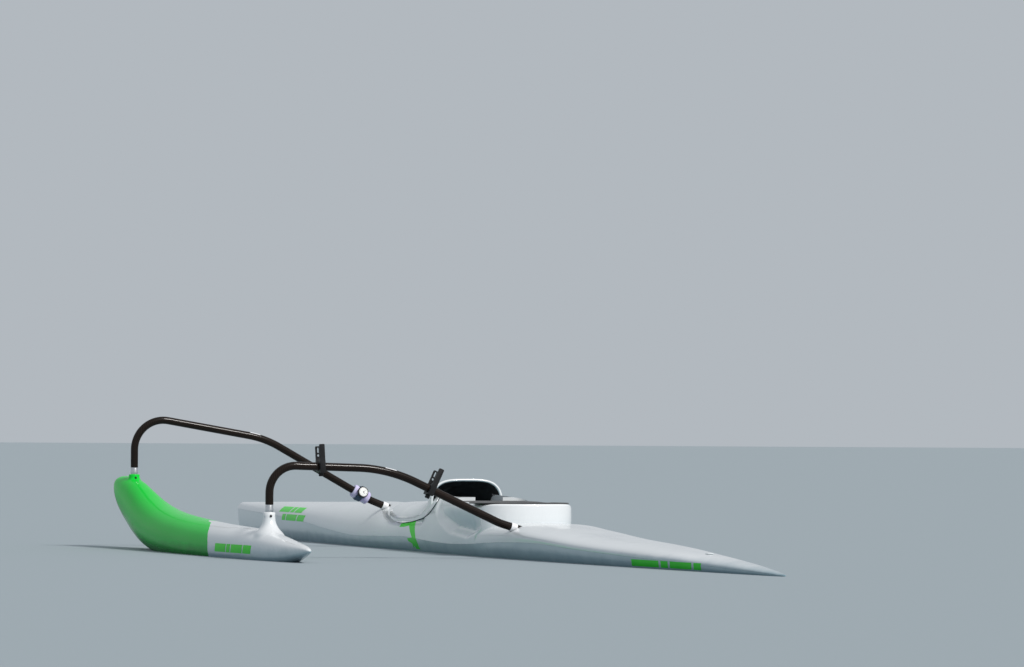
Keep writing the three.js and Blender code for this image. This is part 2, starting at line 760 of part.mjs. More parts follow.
// Paddle rests
const rear = IAKOS[1];
REST_YS.forEach((y, i) => {
  const { place, along } = onPath(rear.path, y);
  const fore = new THREE.Vector3(1, 0, 0);
  const up = new THREE.Vector3().crossVectors(along, fore).normalize();
  if (up.z < 0) up.negate();
  const frame = { x: fore, y: new THREE.Vector3().crossVectors(up, fore), z: up };
  const at = (x, z) => place.clone().addScaledVector(fore, x).addScaledVector(up, z);
  const outer = REST.gap / 2 + REST.prongThickness;
  let body = blockIn(frame, at(0, 0), new THREE.Vector3(2 * outer, REST.width, 2 * REST.block));
  for (const { side, reach } of PRONGS) {
    const x = (side * (REST.gap + REST.prongThickness)) / 2;
    const prong = new THREE.Vector3(REST.prongThickness, REST.width, reach);
    body = body.add(blockIn(frame, at(x, reach / 2), prong));
  }
  body = body.subtract(rear.bore);
  add("paddle_rest_" + (i + 1), body, moulding());
  const knobTop = REST.block + GAP;
  const down = up.clone().negate();
  const knob = rod(REST.knobRadius, knobTop, knobTop + REST.knobLength, ROUND_SIDES, place, down);
  add("rest_knob_" + (i + 1), knob, moulding());
});

// Instrument
const front = IAKOS[0];
const watchSpot = onPath(front.path, WATCH_Y);
const leaning = WATCH_FACES.dot(watchSpot.along);
const watchUp = WATCH_FACES.clone().addScaledVector(watchSpot.along, -leaning).normalize();
const foamSpot = onPath(front.path, SLEEVE.y);
const foamHalf = SLEEVE.length / 2;
const foam = rod(SLEEVE.radius, -foamHalf, foamHalf, ROUND_SIDES, foamSpot.place, foamSpot.along);
add("foam_sleeve", foam.subtract(front.bore), paint(INK.lilac, 0.9));
add(
  "watch_strap",
  sleeve(
    SLEEVE.radius + 2 * GAP,
    SLEEVE.radius + 2 * GAP + STRAP.thickness,
    -STRAP.length / 2,
    STRAP.length / 2,
    ROUND_SIDES,
    watchSpot.place,
    watchSpot.along,
  ),
  paint(INK.navy, 0.6),
);
const watchBase = SLEEVE.radius + STRAP.thickness + 3 * GAP;
add(
  "watch_case",
  rod(WATCH.radius, watchBase, watchBase + WATCH.height, ROUND_SIDES, watchSpot.place, watchUp),
  moulding(),
);
const dialBase = watchBase + WATCH.height + GAP;
add(
  "watch_dial",
  rod(WATCH.dialRadius, dialBase, dialBase + WATCH.dialHeight, ROUND_SIDES, watchSpot.place, watchUp),
  paint(INK.white, 0.3),
);

// Rudder: blade and post in one
const bladeTop = rudderForm.keel - RUDDER.topClearance;
function rudderBlade() {
  const rings = [];
  for (let r = 0; r <= RUDDER_ROWS; r++) {
    const down = r / RUDDER_ROWS;
    const chord = RUDDER.chord * (1 - RUDDER_NARROWS * down ** 1.5);
    const lead = RUDDER.ahead - RUDDER.sweep * down;
    const z = bladeTop - RUDDER.depth * down;
    const ring = [];
    for (const side of [1, -1]) {
      for (let i = 0; i < FOIL_POINTS; i++) {
        const along = side === 1 ? i / FOIL_POINTS : 1 - i / FOIL_POINTS;
        const half = i ? Math.max(RUDDER.thickness * (1 - RUDDER_THINS * down) * foil(along), GAP) : 0;
        ring.push(new THREE.Vector3(RUDDER_X + lead - chord * along, side * half, z));
      }
    }
    rings.push(ring);
  }
  return loft(rings);
}

// Half thickness of a symmetrical foil of unit thickness, from its nose at 0 to its tail at 1
function foil(along) {
  const terms = [[0.5, 1.48], [1, -0.63], [2, -1.76], [3, 1.42], [4, -0.51]];
  return terms.reduce((sum, [power, factor]) => sum + factor * along ** power, 0);
}

const postTop = rudderForm.crown - POST.belowDeck;
const post = rod(POST.radius, bladeTop - POST.sunkInBlade, postTop, ROUND_SIDES, rudderAxis);
add("rudder", rudderBlade().add(post), gelcoat());

const bearingLow = rudderForm.keel + BEARING.aboveKeel;
const bearingHigh = postTop - BEARING.belowPostTop;
add(
  "rudder_bearing",
  sleeve(BEARING.inner, BEARING.outer, bearingLow, bearingHigh, ROUND_SIDES, rudderAxis),
  paint(INK.grey, 0.5),
);
const capBase = rudderForm.crown + CAP.lift;
const capStem = rod(CAP.stem, postTop + CAP.overPost, capBase, ROUND_SIDES, rudderAxis);
const capHead = rod(CAP.radius, capBase, capBase + CAP.thickness, ROUND_SIDES, rudderAxis);
add("rudder_cap", capStem.add(capHead), gelcoat());

// Foot pedals on a fixed cross rod between two brackets
const across = new THREE.Vector3(0, 1, 0);
const upright = { x: new THREE.Vector3(1, 0, 0), y: across, z: new THREE.Vector3(0, 0, 1) };
const axleAt = new THREE.Vector3(PEDAL.x, 0, PEDAL.z);
const axleHalf = FOOTWELL.halfWidth - 4 * GAP;
const axleBore = rod(PEDAL_AXLE_RADIUS + GAP, -2 * axleHalf, 2 * axleHalf, ROUND_SIDES, axleAt, across);
add(
  "pedal_axle",
  rod(PEDAL_AXLE_RADIUS, -axleHalf, axleHalf, ROUND_SIDES, axleAt, across),
  paint(INK.silver, 0.35, 0.9),
);
for (const [name, side] of [["port", 1], ["starboard", -1]]) {
  const middle = side * (PEDAL.gapFromCentre + PEDAL.width / 2);
  const plate = blockIn(
    upright,
    new THREE.Vector3(PEDAL.x, middle, PEDAL.z + PEDAL.height / 2),
    new THREE.Vector3(PEDAL.thickness, PEDAL.width, PEDAL.height),
  );
  const hubAt = new THREE.Vector3(PEDAL.x, middle, PEDAL.z);
  const hub = rod(PEDAL.hubRadius, -PEDAL.width / 2, PEDAL.width / 2, ROUND_SIDES, hubAt, across);
  add("pedal_" + name, plate.add(hub).subtract(axleBore), moulding());
  const outer = FOOTWELL.halfWidth - GAP - BRACKET.thickness / 2;
  const bracket = blockIn(
    upright,
    new THREE.Vector3(PEDAL.x, side * outer, FOOTWELL.floor + GAP + BRACKET.height / 2),
    new THREE.Vector3(BRACKET.length, BRACKET.thickness, BRACKET.height),
  );
  add("pedal_bracket_" + name, bracket.subtract(axleBore), moulding());
}

export default canoe;
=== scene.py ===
"""A one-person racing outrigger canoe: its surfaces, finishes and fittings.

Shapes are worked out in millimetres (+X to the bow, +Y to port, +Z up, origin amidships at the
waterline) and become metres when a mesh is made.
"""
import math
from types import SimpleNamespace as Sizes

import bmesh
import bpy
import numpy as np
from mathutils import Matrix, Vector


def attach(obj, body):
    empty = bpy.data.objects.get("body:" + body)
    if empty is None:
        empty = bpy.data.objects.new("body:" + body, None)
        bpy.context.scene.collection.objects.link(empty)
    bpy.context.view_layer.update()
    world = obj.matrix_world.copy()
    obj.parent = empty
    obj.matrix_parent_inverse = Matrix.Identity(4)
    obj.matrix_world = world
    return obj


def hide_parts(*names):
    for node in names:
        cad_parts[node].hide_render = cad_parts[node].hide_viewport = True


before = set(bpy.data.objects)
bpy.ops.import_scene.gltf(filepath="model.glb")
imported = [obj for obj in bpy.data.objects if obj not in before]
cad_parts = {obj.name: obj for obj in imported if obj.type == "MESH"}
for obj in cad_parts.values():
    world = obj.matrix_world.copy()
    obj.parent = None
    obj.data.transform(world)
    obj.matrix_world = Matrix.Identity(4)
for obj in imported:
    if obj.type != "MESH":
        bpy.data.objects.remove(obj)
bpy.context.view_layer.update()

MM = 0.001
FORE, PORT, UP = Vector((1, 0, 0)), Vector((0, 1, 0)), Vector((0, 0, 1))
SIDES = ((1, "port"), (-1, "starboard"))

# Camera: place, direction and lens
IMAGE_WIDTH = 1024
FOCAL_PIXELS = 4390.8
SENSOR_WIDTH = 36.0
VIEW_DEPTH = (0.05, 3000)
CAMERA_AT = Vector((-15.484, 5.232, 0.401))
HEADING, PITCH, ROLL = (math.radians(angle) for angle in (19.282, 1.442, 0.32))


def link_object(name, data):
    obj = bpy.data.objects.new(name, data)
    bpy.context.scene.collection.objects.link(obj)
    return obj


def make_camera():
    """The camera looks forward, turned from +X towards -Y by its heading."""
    level = math.cos(PITCH)
    forward = Vector((math.cos(HEADING) * level, -math.sin(HEADING) * level, math.sin(PITCH)))
    right = Vector((-math.sin(HEADING), -math.cos(HEADING), 0))
    up = right.cross(forward)
    rolled_right = right * math.cos(ROLL) + up * math.sin(ROLL)
    rolled_up = up * math.cos(ROLL) - right * math.sin(ROLL)
    data = bpy.data.cameras.new("camera")
    data.sensor_width = SENSOR_WIDTH
    data.lens = FOCAL_PIXELS / IMAGE_WIDTH * SENSOR_WIDTH
    data.clip_start, data.clip_end = VIEW_DEPTH
    camera = link_object("camera", data)
    turn = Matrix((rolled_right, rolled_up, -forward)).transposed().to_4x4()
    camera.matrix_world = Matrix.Translation(CAMERA_AT) @ turn
    bpy.context.scene.camera = camera


make_camera()

# Main sizes
GAP = 0.3
HULL_HALF_LENGTH = 3070
BILGE_ANGLE = math.radians(66)
SEAT_BOX = Sizes(aft=-772, fore=-200, half=187, bow=150, corner=0)
SEAT_BOX_LIP = 8
SEAT = Sizes(aft=-750, fore=-285, half=142, bow=130, corner=45, floor=156)
FOOTWELL = Sizes(aft=-290, fore=520, half=104, bow=50, corner=50, floor=-44)
BOW_SQUARENESS = 2.3
TUB_WALL = 5
COCKPIT_TOP = 320
PAD_THICKNESS = 36
PAD_INSET = 7
COWL_FORE_X, COWL_AFT_X = 720, -32
COWL_WALL = 6
COWL_SKIRT = 3
FLOAT_LINE = Sizes(x=-1006, y=1044, toe=0.0182)
TUBE_RADIUS = 14
INSERT = Sizes(radius=13.5, shown=26, sunk=52)
BAND = Sizes(length=22, thickness=1.4, from_mouth=8)
POCKET = Sizes(radius=18, length=125, sunk=9)
BORE_LENGTH = 260  # of the bore for a tube's hidden end
# Each crossbeam's outline is its centreline's corners as y, z and the radius of the bend there
IAKOS = [
    Sizes(name="front", x=730, boss_top=278, label_y=604, outline=[
        (1075.6, 304, 0), (1075.6, 505, 112), (561, 417, 385), (139, 182, 291), (-17, 121, 0)]),
    Sizes(name="rear", x=-1006, boss_top=163, label_y=612, outline=[
        (1044, 189, 0), (1044, 325, 92), (617, 313, 540), (209, 125, 200), (96, 91, 0)]),
]
LABEL = Sizes(length=40, angle=math.radians(75), proud=0.25, sunk=0.1)
BUTTON = Sizes(radius=4, out=3, sunk=3.2, down=13, from_axis=21)
BUTTON_FACES = Vector((-1, 0, 0))
RESTS = ((861, 5), (463, 0))  # y, and the degrees that it leans over to port
REST = Sizes(width=19, block=21, prong=8, gap=42, knob_radius=8.5, knob_length=12)
PRONG_REACH = {1: 70, -1: 78}  # by the way along x that each stands from the middle
PRONG_HOLE = Sizes(up=38, radius=4.3)
PRONG_SLOT = Sizes(up=56, radius=3.6, half=6)
SADDLE = Sizes(half=30, below=7, above=9, radius=17)
WATCH_Y = 181
SLEEVE = Sizes(y=177, length=70, radius=25, straight=0.86, pinch=1.6, pinch_reach=15)
STRAP = Sizes(length=25, thickness=3, sunk=1.2, ribs=10, rib=0.7)
WATCH = Sizes(radius=21.5, height=11, dial_radius=17.5, dial_height=1.6)
WATCH_FACES = Vector((-0.95, 0.2, 0.36))
RUDDER_X = -2450
RUDDER = Sizes(chord=118, ahead=34, depth=165, thickness=11, top_clearance=12, sweep=34)
RUDDER_TIP = Sizes(chord=0.58, thickness=0.65, rounded_from=0.93)  # as shares of the blade's
POST = Sizes(radius=5, sunk_in_blade=60, below_deck=15)
BEARING = Sizes(outer=9, inner=5.4, above_keel=8, below_post_top=4)
CAP = Sizes(radius=13, stem=8, thickness=1.5, lift=1.4, over_post=3)
PEDAL = Sizes(x=372, z=-12, height=112, width=74, thickness=9, from_centre=11, hub=11, corner=16)
TREADS = Sizes(first=34, last=94, step=12, height=5, inset=9)
PEDAL_AXLE_RADIUS = 5
BRACKET = Sizes(length=46, height=44, thickness=6, radius=16)

# Fineness of the surfaces
TOPSIDE_POINTS = 64  # per side, chine to crown
BOTTOM_POINTS = 22  # per side, keel to chine
DENSE = 160  # samples that a section is spaced out from
ROUND = 32  # sides of a small round piece
FINE = 64  # sides of the instrument's round pieces
TUBE_STEP = 9


def reader(columns, rows):
    """A form read smoothly from a table: rows in falling x, slopes kept monotone."""
    table = np.array(rows, float)
    xs = table[:, 0]
    slopes = np.diff(table, axis=0) / np.diff(xs)[:, None]
    tangents = np.empty_like(table)
    tangents[0], tangents[-1] = slopes[0], slopes[-1]
    product = slopes[:-1] * slopes[1:]
    total = np.where(product > 0, slopes[:-1] + slopes[1:], 1)
    tangents[1:-1] = np.where(product > 0, 2 * product / total, 0)

    def at(x):
        i = int(np.clip(np.searchsorted(-xs, -x, side="right") - 1, 0, len(xs) - 2))
        width = xs[i + 1] - xs[i]
        t = (x - xs[i]) / width
        a, b = table[i], table[i + 1]
        ta, tb = tangents[i] * width, tangents[i + 1] * width
        read = a + t * (ta + t * (3 * (b - a) - 2 * ta - tb + t * (2 * (a - b) + ta + tb)))
        return Sizes(**dict(zip(columns.split(), read)))

    return at


HULL_COLUMNS = "x beam chine crown top fullness waist keel"
AFT_ROWS = [
    (-1000, 181, 58, 122, 178, 3.2, 0, -126),
    (-1200, 172, 60, 112, 172, 2.9, 0, -121),
    (-1650, 147, 46, 89, 147, 2.5, 0, -106),
    (-2100, 113, 33, 73, 113, 2.3, 0, -86),
    (-2450, 81, 25, 53, 81, 2.2, 0, -64),
    (-2780, 47, 14, 32, 47, 2.1, 0, -36),
    (-2970, 23, 7, 16, 23, 2, 0, -16),
    (-HULL_HALF_LENGTH, 5, 1, 6, 5, 2, 0, -4),
]
fore_form = reader(HULL_COLUMNS, [
    (HULL_HALF_LENGTH, 8, 104, 117, 8, 2, 0, 58),
    (3052, 13, 110, 132, 13, 2, 0, 22),
    (3010, 19, 111, 141, 19, 2, 0, -12),
    (2900, 30, 109, 143, 30, 2, 0, -47),
    (2600, 57, 104, 148, 57, 2, 0, -84),
    (2150, 91, 95, 155, 91, 2, 0, -110),
    (1700, 120, 81, 161, 120, 2.1, 0, -124),
    (1250, 141, 56, 168, 141, 1.95, 0, -132),
    (850, 154, 42, 174, 154, 1.8, 0, -136),
    (640, 159, 45, 172, 156, 1.8, 0, -137),
    (500, 162, 47, 167, 158, 1.8, 0, -138),
    (210, 166, 52, 162, 152, 2.4, 0, -138),
    (60, 168, 48, 168, 146, 2.8, 0, -138),
    (-34, 170, 44, 226, 137, 4, 8, -138),
    (-180, 173, 40, 214, 152, 5, 28, -137),
    (-350, 177, 38, 202, 168, 7, 44, -136),
    (-560, 182, 42, 192, 177, 8, 42, -134),
    (-675, 184, 46, 188, 179, 9, 22, -132),
    (-740, 184, 49, 188, 180, 9, 4, -131),
    (SEAT_BOX.aft - 10, 184, 52, 188, 180, 9, 0, -130),
])
# The aft deck, carried on forward under the seat box
aft_form = reader(HULL_COLUMNS, [
    (-420, 184, 20, 50, 178, 3.2, 0, -140),
    (-560, 184, 42, 100, 178, 3.2, 0, -140),
    (-676, 184, 46, 117, 178, 3.2, 0, -132),
    (SEAT_BOX.aft - 40, 184, 52, 122, 180, 3.2, 0, -130),
] + AFT_ROWS)
SEAT_END = SEAT_BOX.aft - 10
RIM_HEIGHT = fore_form(SEAT_BOX.aft).crown
ROOM_AFT = -1000  # from here forward, what stands above the aft deck is cut away beside the seat box
SPARE_SKIN = Sizes(proud=6, run_in=60)  # how the uncut hull stands above the aft deck there
END_ROUNDING = 8
# The scoop in the side under the seat: its lower and fore edge as x and height
SCOOP_EDGE = (
    (-740, 86), (-712, 81), (-557, 60), (-343, 73), (-181, 110), (-110, 149), (-85, 193), (-78, 240))
SCOOP = Sizes(ease=32, depth=1.15, fade=1.2)  # how soon it deepens, how far, how it fades upwards


def scoop(form, z):
    """How far the side is scooped in at heights z, sharpest along the scoop's lower and fore edge."""
    xs, heights = zip(*SCOOP_EDGE)
    edge, ahead = np.interp((form.x, form.x + 10), xs, heights)
    above = z - edge
    into = np.clip(above / (SCOOP.ease * math.hypot(1, (ahead - edge) / 10)), 0, 1)
    share = np.clip(above / max(form.crown - edge, 1), 0, 1)
    return SCOOP.depth * form.waist * into ** 2 * (3 - 2 * into) * (1 - share) ** SCOOP.fade


def hull_form(x):
    """The hull's form at x, before the seat box is cut free."""
    if x >= SEAT_END:
        form = fore_form(x)
    else:
        form = aft_form(x)
        form.crown += SPARE_SKIN.proud * min(1, max(0, (x - ROOM_AFT) / SPARE_SKIN.run_in))
    into_end = (abs(x) - (HULL_HALF_LENGTH - END_ROUNDING)) / END_ROUNDING
    if into_end > 0:
        narrower = math.sqrt(max(1 - into_end ** 2, 0.002))
        form.beam *= narrower
        form.top *= narrower
    return form


def evenly(line, count):
    """A line of points spaced out again into count points at even distances."""
    steps = np.hypot(*np.diff(line, axis=0).T)
    run = np.concatenate(([0], np.cumsum(steps)))
    at = np.linspace(0, run[-1], count)
    return np.column_stack([np.interp(at, run, line[:, k]) for k in (0, 1)])


def topside(form, count=TOPSIDE_POINTS, grow=0.0, lift=0.0):
    """Half a topside from chine to crown, as rows of y, z."""
    power = form.fullness
    angle = np.linspace(0, math.pi / 2, DENSE)
    up = np.union1d(np.linspace(0, 1, DENSE), np.sin(angle) ** (2 / power))
    out = np.clip(1 - up ** power, 0, 1) ** (1 / power)
    low = form.chine + lift
    z = low + (form.crown - low) * up
    y = (form.beam + (form.top - form.beam) * up) * out - scoop(form, z) * out
    line = evenly(np.column_stack((y, z)), count)
    line[:, 0] += np.where(line[:, 0] > 0.01, grow, 0)
    line[:, 1] += np.where(line[:, 1] > low + 0.01, grow, 0)
    return line


def bottom(form, count=BOTTOM_POINTS):
    """Half a bottom from keel to chine, as rows of y, z."""
    angle = np.linspace(0, BILGE_ANGLE, count)
    rise = (np.cos(angle) - math.cos(BILGE_ANGLE)) / (1 - math.cos(BILGE_ANGLE))
    y = form.beam * np.sin(angle) / math.sin(BILGE_ANGLE)
    return np.column_stack((y, form.chine + (form.keel - form.chine) * rise))


def bulge(half, middle, tall, power, count, whole=False):
    """Half a superellipse's outline as rows of y, z: its upper quarter, or the whole half from its foot."""
    angle = np.linspace(-math.pi / 2 if whole else 0, math.pi / 2, 2 * DENSE if whole else DENSE)
    y = half * np.clip(np.cos(angle), 0, 1) ** (2 / power)
    z = middle + tall * np.sign(np.sin(angle)) * np.abs(np.sin(angle)) ** (2 / power)
    return evenly(np.column_stack((y, z)), count)


def mirrored_ring(x, half, centre=0.0):
    """A closed ring from half a section that starts and ends on the centreline."""
    port = [(x, centre + y, z) for y, z in half]
    return port + [(x, centre - y, z) for y, z in half[1:-1]][::-1]


def with_foot(half, z):
    """Half a section with a point on the centreline below its foot, to close it there."""
    return np.vstack(([0, z], half))


def spans(*parts):
    """Places along x from (start, end, step) stretches that follow one another."""
    places = []
    for start, end, step in parts:
        count = max(1, round(abs(end - start) / step))
        places += [start + (end - start) * i / count for i in range(count)]
    return places + [parts[-1][1]]


HULL_PLACES = spans(
    (3070, 3058, 1.5), (3058, 2900, 9), (2900, 1000, 30), (1000, 0, 13), (0, SEAT_END, 7),
    (SEAT_END - 1, ROOM_AFT, 12), (ROOM_AFT, -2900, 30), (-2900, -3058, 9), (-3058, -3070, 1.5),
)


# Outlines and solids
def circle(count):
    """The cosine and sine of each of count even angles."""
    return [(math.cos(a), math.sin(a)) for a in (2 * math.pi * i / count for i in range(count))]


def arc(u, v, radius, start, end, steps):
    """Points on an arc about (u, v), between two angles in degrees."""
    angles = np.radians(np.linspace(start, end, steps + 1))
    return [(u + radius * math.cos(a), v + radius * math.sin(a)) for a in angles]


def box(half, low, high):
    return [(-half, low), (half, low), (half, high), (-half, high)]


def closed(points, faces):
    """A closed skin with its faces pointing out."""
    points = np.array([tuple(p) for p in points], float)
    fans = np.array([(face[0], a, b) for face in faces for a, b in zip(face[1:], face[2:])])
    first, second, third = np.moveaxis((points - points.mean(0))[fans], 1, 0)
    if (first * np.cross(second, third)).sum() < 0:
        faces = [face[::-1] for face in faces]
    return points, faces


def loft(rings):
    """A closed skin over rings of equally many points."""
    rows, count = len(rings), len(rings[0])
    last = (rows - 1) * count
    faces = []
    for low in range(0, last, count):
        around = [(low + i, low + (i + 1) % count) for i in range(count)]
        faces += [(a, b, b + count, a + count) for a, b in around]
    faces += [tuple(range(count))[::-1], tuple(range(last, last + count))]
    return closed([point for ring in rings for point in ring], faces)


def prism(outline, low, high, axis=2):
    """A block of an outline, from low to high along the axis that the outline leaves out."""
    return loft([[(*p[:axis], level, *p[axis:]) for p in outline] for level in (low, high)])


def plate(outline, axes, place, low, high):
    """A block of an outline along two directions of a frame, from low to high along its first direction."""
    depth, across, up = axes
    return loft([[place + depth * level + across * u + up * v for u, v in outline] for level in (low, high)])


def turned(profile, sides=ROUND, place=(0, 0, 0), along=UP):
    """A solid turned about its own axis from a profile of (radius, height). A profile off the axis closes."""
    place = Vector(place)
    turn = UP.rotation_difference(along.normalized()).to_matrix()
    points, faces, rows = [], [], []
    for radius, height in profile:
        around = circle(sides) if radius else [(1, 0)]
        rows.append(range(len(points), len(points) + len(around)))
        points += [place + turn @ Vector((radius * u, radius * v, height)) for u, v in around]
    if len(rows[0]) > 1:
        rows.append(rows[0])
    for low, high in zip(rows, rows[1:]):
        for i in range(sides):
            corners = [row[k % len(row)] for row, k in ((low, i), (low, i + 1), (high, i + 1), (high, i))]
            faces.append(tuple(dict.fromkeys(corners)))
    return closed(points, faces)


def rod(radius, low, high, sides=ROUND, place=(0, 0, 0), along=UP, soft=0.0):
    """A rod with its edges rounded by soft."""
    steps = 4 if soft else 0
    profile = arc(radius - soft, low + soft, soft, -90, 0, steps)
    profile += arc(radius - soft, high - soft, soft, 0, 90, steps)
    return turned([(0, low), *profile, (0, high)], sides, place, along)


def pipe(inner, outer, low, high, sides=ROUND, place=(0, 0, 0), along=UP, soft=0.5):
    """A sleeve with its outer edges cut by soft."""
    profile = [(inner, low), (outer - soft, low), (outer, low + soft)]
    profile += [(outer, high - soft), (outer - soft, high), (inner, high)]
    return turned(profile, sides, place, along)


def merged(*solids):
    """Several closed skins as one list of points and faces."""
    points, faces = [], []
    for some_points, some_faces in solids:
        start = len(points)
        points += [tuple(p) for p in some_points]
        faces += [tuple(start + i for i in face) for face in some_faces]
    return points, faces


# Objects
def make_object(name, solid):
    points, faces = solid
    mesh = bpy.data.meshes.new(name)
    mesh.from_pydata((np.asarray(points, float) * MM).tolist(), [], faces)
    mesh.validate()
    return link_object(name, mesh)


def drop(obj):
    mesh = obj.data
    bpy.data.objects.remove(obj)
    bpy.data.meshes.remove(mesh)


def modify(obj, kind, **settings):
    modifier = obj.modifiers.new(kind.lower(), kind)
    for key, value in settings.items():
        setattr(modifier, key, value)
    return modifier


def settle(obj):
    """Applies an object's modifiers to its mesh."""
    graph = bpy.context.evaluated_depsgraph_get()
    mesh = bpy.data.meshes.new_from_object(obj.evaluated_get(graph))
    old = obj.data
    obj.modifiers.clear()
    obj.data = mesh
    bpy.data.meshes.remove(old)
    return obj


def combine(obj, operation, *solids):
    """Cuts, joins or intersects an object's mesh with solids, one after another."""
    for solid in solids:
        other = solid if isinstance(solid, bpy.types.Object) else make_object("cutter", solid)
        modify(obj, "BOOLEAN", operation=operation, solver="MANIFOLD", object=other)
        settle(obj)
        if other is not solid:
            drop(other)
    return obj


def cut(obj, *solids):
    return combine(obj, "DIFFERENCE", *solids)


def join(obj, *solids):
    return combine(obj, "UNION", *solids)


def common(obj, *solids):
    return combine(obj, "INTERSECT", *solids)


def soften(obj, width, segments=3):
    modify(obj, "BEVEL", width=width * MM, segments=segments, limit_method="ANGLE",
           angle_limit=math.radians(35), harden_normals=False)
    return settle(obj)


def finish_piece(obj, finish, node=None, body="hull", sharp=38):
    """Shades a piece smooth up to a sharp angle, gives it its finish's material, ties it to its body and
    hides the solid that it stands in for.
    """
    material, slot = finish
    mesh = obj.data
    mesh.polygons.foreach_set("use_smooth", [True] * len(mesh.polygons))
    mesh.set_sharp_from_angle(angle=math.radians(sharp))
    mesh.materials.clear()
    mesh.materials.append(material)
    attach(obj, body)
    if node:
        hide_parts(node)


def piece(name, solid, finish, node=None):
    finish_piece(make_object(name, solid), finish, node)


# Materials
COLOR_A, COLOR_B, COLOR_RESULT = 6, 7, 2  # the mix node's sockets for colours


class Recipe:
    """A material's nodes. A value is a number, a colour or another node's output."""

    def __init__(self, name, color, roughness, metallic=0.0, coat=0.0, coat_roughness=0.03, specular=0.5):
        self.material = bpy.data.materials.new(name)
        self.material.use_nodes = True
        self.tree = self.material.node_tree
        self.shader = self.tree.nodes["Principled BSDF"]
        self.set("Base Color", color)
        self.set("Roughness", roughness)
        self.set("Metallic", metallic)
        self.set("Coat Weight", coat)
        self.set("Coat Roughness", coat_roughness)
        self.set("Specular IOR Level", specular)
        self.place = self.add("ShaderNodeTexCoord").outputs["Object"]

    def feed(self, socket, value):
        if isinstance(value, bpy.types.NodeSocket):
            self.tree.links.new(value, socket)
        else:
            socket.default_value = (*value, 1) if socket.type == "RGBA" else value

    def set(self, socket, value):
        self.feed(self.shader.inputs[socket], value)

    def add(self, kind, values=(), **settings):
        """A node with its settings, and values as (socket, value) pairs."""
        node = self.tree.nodes.new(kind)
        for key, value in settings.items():
            setattr(node, key, value)
        for key, value in values:
            self.feed(node.inputs[key], value)
        return node

    def noise(self, scale, detail=3.0, stretch=None):
        """Noise over the object's own place, with its scale in turns a metre."""
        place = self.place
        if stretch:
            place = self.add("ShaderNodeMapping", [("Vector", place), ("Scale", stretch)]).outputs["Vector"]
        values = [("Vector", place), ("Scale", scale), ("Detail", detail)]
        return self.add("ShaderNodeTexNoise", values).outputs["Fac"]

    def math(self, operation, first, second):
        return self.add("ShaderNodeMath", [(0, first), (1, second)], operation=operation).outputs[0]

    def floor(self, value):
        return self.add("ShaderNodeMath", [(0, value)], operation="FLOOR").outputs[0]

    def spread(self, value, low, high, to_low=0.0, to_high=1.0):
        """A value taken from one range to another, held at its ends."""
        names = ("Value", "From Min", "From Max", "To Min", "To Max")
        values = zip(names, (value, low, high, to_low, to_high))
        return self.add("ShaderNodeMapRange", values).outputs["Result"]

    def mix(self, share, first, second):
        """A colour mixed by a share from a first colour to a second."""
        values = [("Factor", share), (COLOR_A, first), (COLOR_B, second)]
        return self.add("ShaderNodeMix", values, data_type="RGBA").outputs[COLOR_RESULT]

    def part(self, vector, axis):
        """One of a vector's three numbers."""
        return self.add("ShaderNodeSeparateXYZ", [("Vector", vector)]).outputs[axis]

    def bump(self, height, distance, strength):
        """Bump of a real height in metres."""
        values = [("Height", height), ("Distance", distance), ("Strength", strength)]
        self.set("Normal", self.add("ShaderNodeBump", values).outputs["Normal"])


def shade(color, share, more=0.0):
    return tuple(min(1, c * share + more) for c in color)


def gelcoat(name, color, low, wetness_reflection_tone, coat=0.5, specular=0.5):
    """Sprayed and polished gelcoat, a little cloudy and wavy, with painted shade and painted reflection of
    the water on its low sides and underside, and a waterline band painted darker teal, part wetness and part
    reflection.
    """
    recipe = Recipe(name, color, 0.2, coat=coat, coat_roughness=0.05, specular=specular)
    height = recipe.part(recipe.place, "Z")
    up = recipe.part(recipe.add("ShaderNodeNewGeometry").outputs["Normal"], "Z")

    def uneven_height(scale, detail, depth):
        return recipe.math("ADD", height, recipe.math("MULTIPLY", recipe.noise(scale, detail), -depth))

    clouds = recipe.spread(recipe.noise(2.2, 4), 0.35, 0.7)
    tone = recipe.mix(clouds, color, shade(color, 0.94))
    # Painted shade and painted reflection of the water: low sides turned from the sky, and faces turned down,
    # take the colour given as low.
    painted_shade_near_water = recipe.spread(uneven_height(4, 3, 0.02), 0.15, 0.02)
    painted_side_shade = recipe.math("MULTIPLY", painted_shade_near_water, recipe.spread(up, 0.6, 0.1, 0, 0.7))
    under = recipe.spread(up, 0.06, -0.34)
    tone = recipe.mix(recipe.math("MAXIMUM", painted_side_shade, under), tone, low)
    # A band at the waterline painted darker teal: part wetness, part painted reflection of the water.
    wetness_and_reflection = recipe.spread(uneven_height(14, 4, 0.03), 0.03, -0.012)
    recipe.set("Base Color", recipe.mix(wetness_and_reflection, tone, wetness_reflection_tone))
    splashes = recipe.spread(recipe.noise(12, 3, (0.4, 1, 1)), 0.45, 0.7)
    recipe.set("Roughness", recipe.spread(splashes, 0, 1, 0.24, 0.15))
    recipe.bump(recipe.noise(5, 2), 0.0008, 0.2)
    return recipe.material


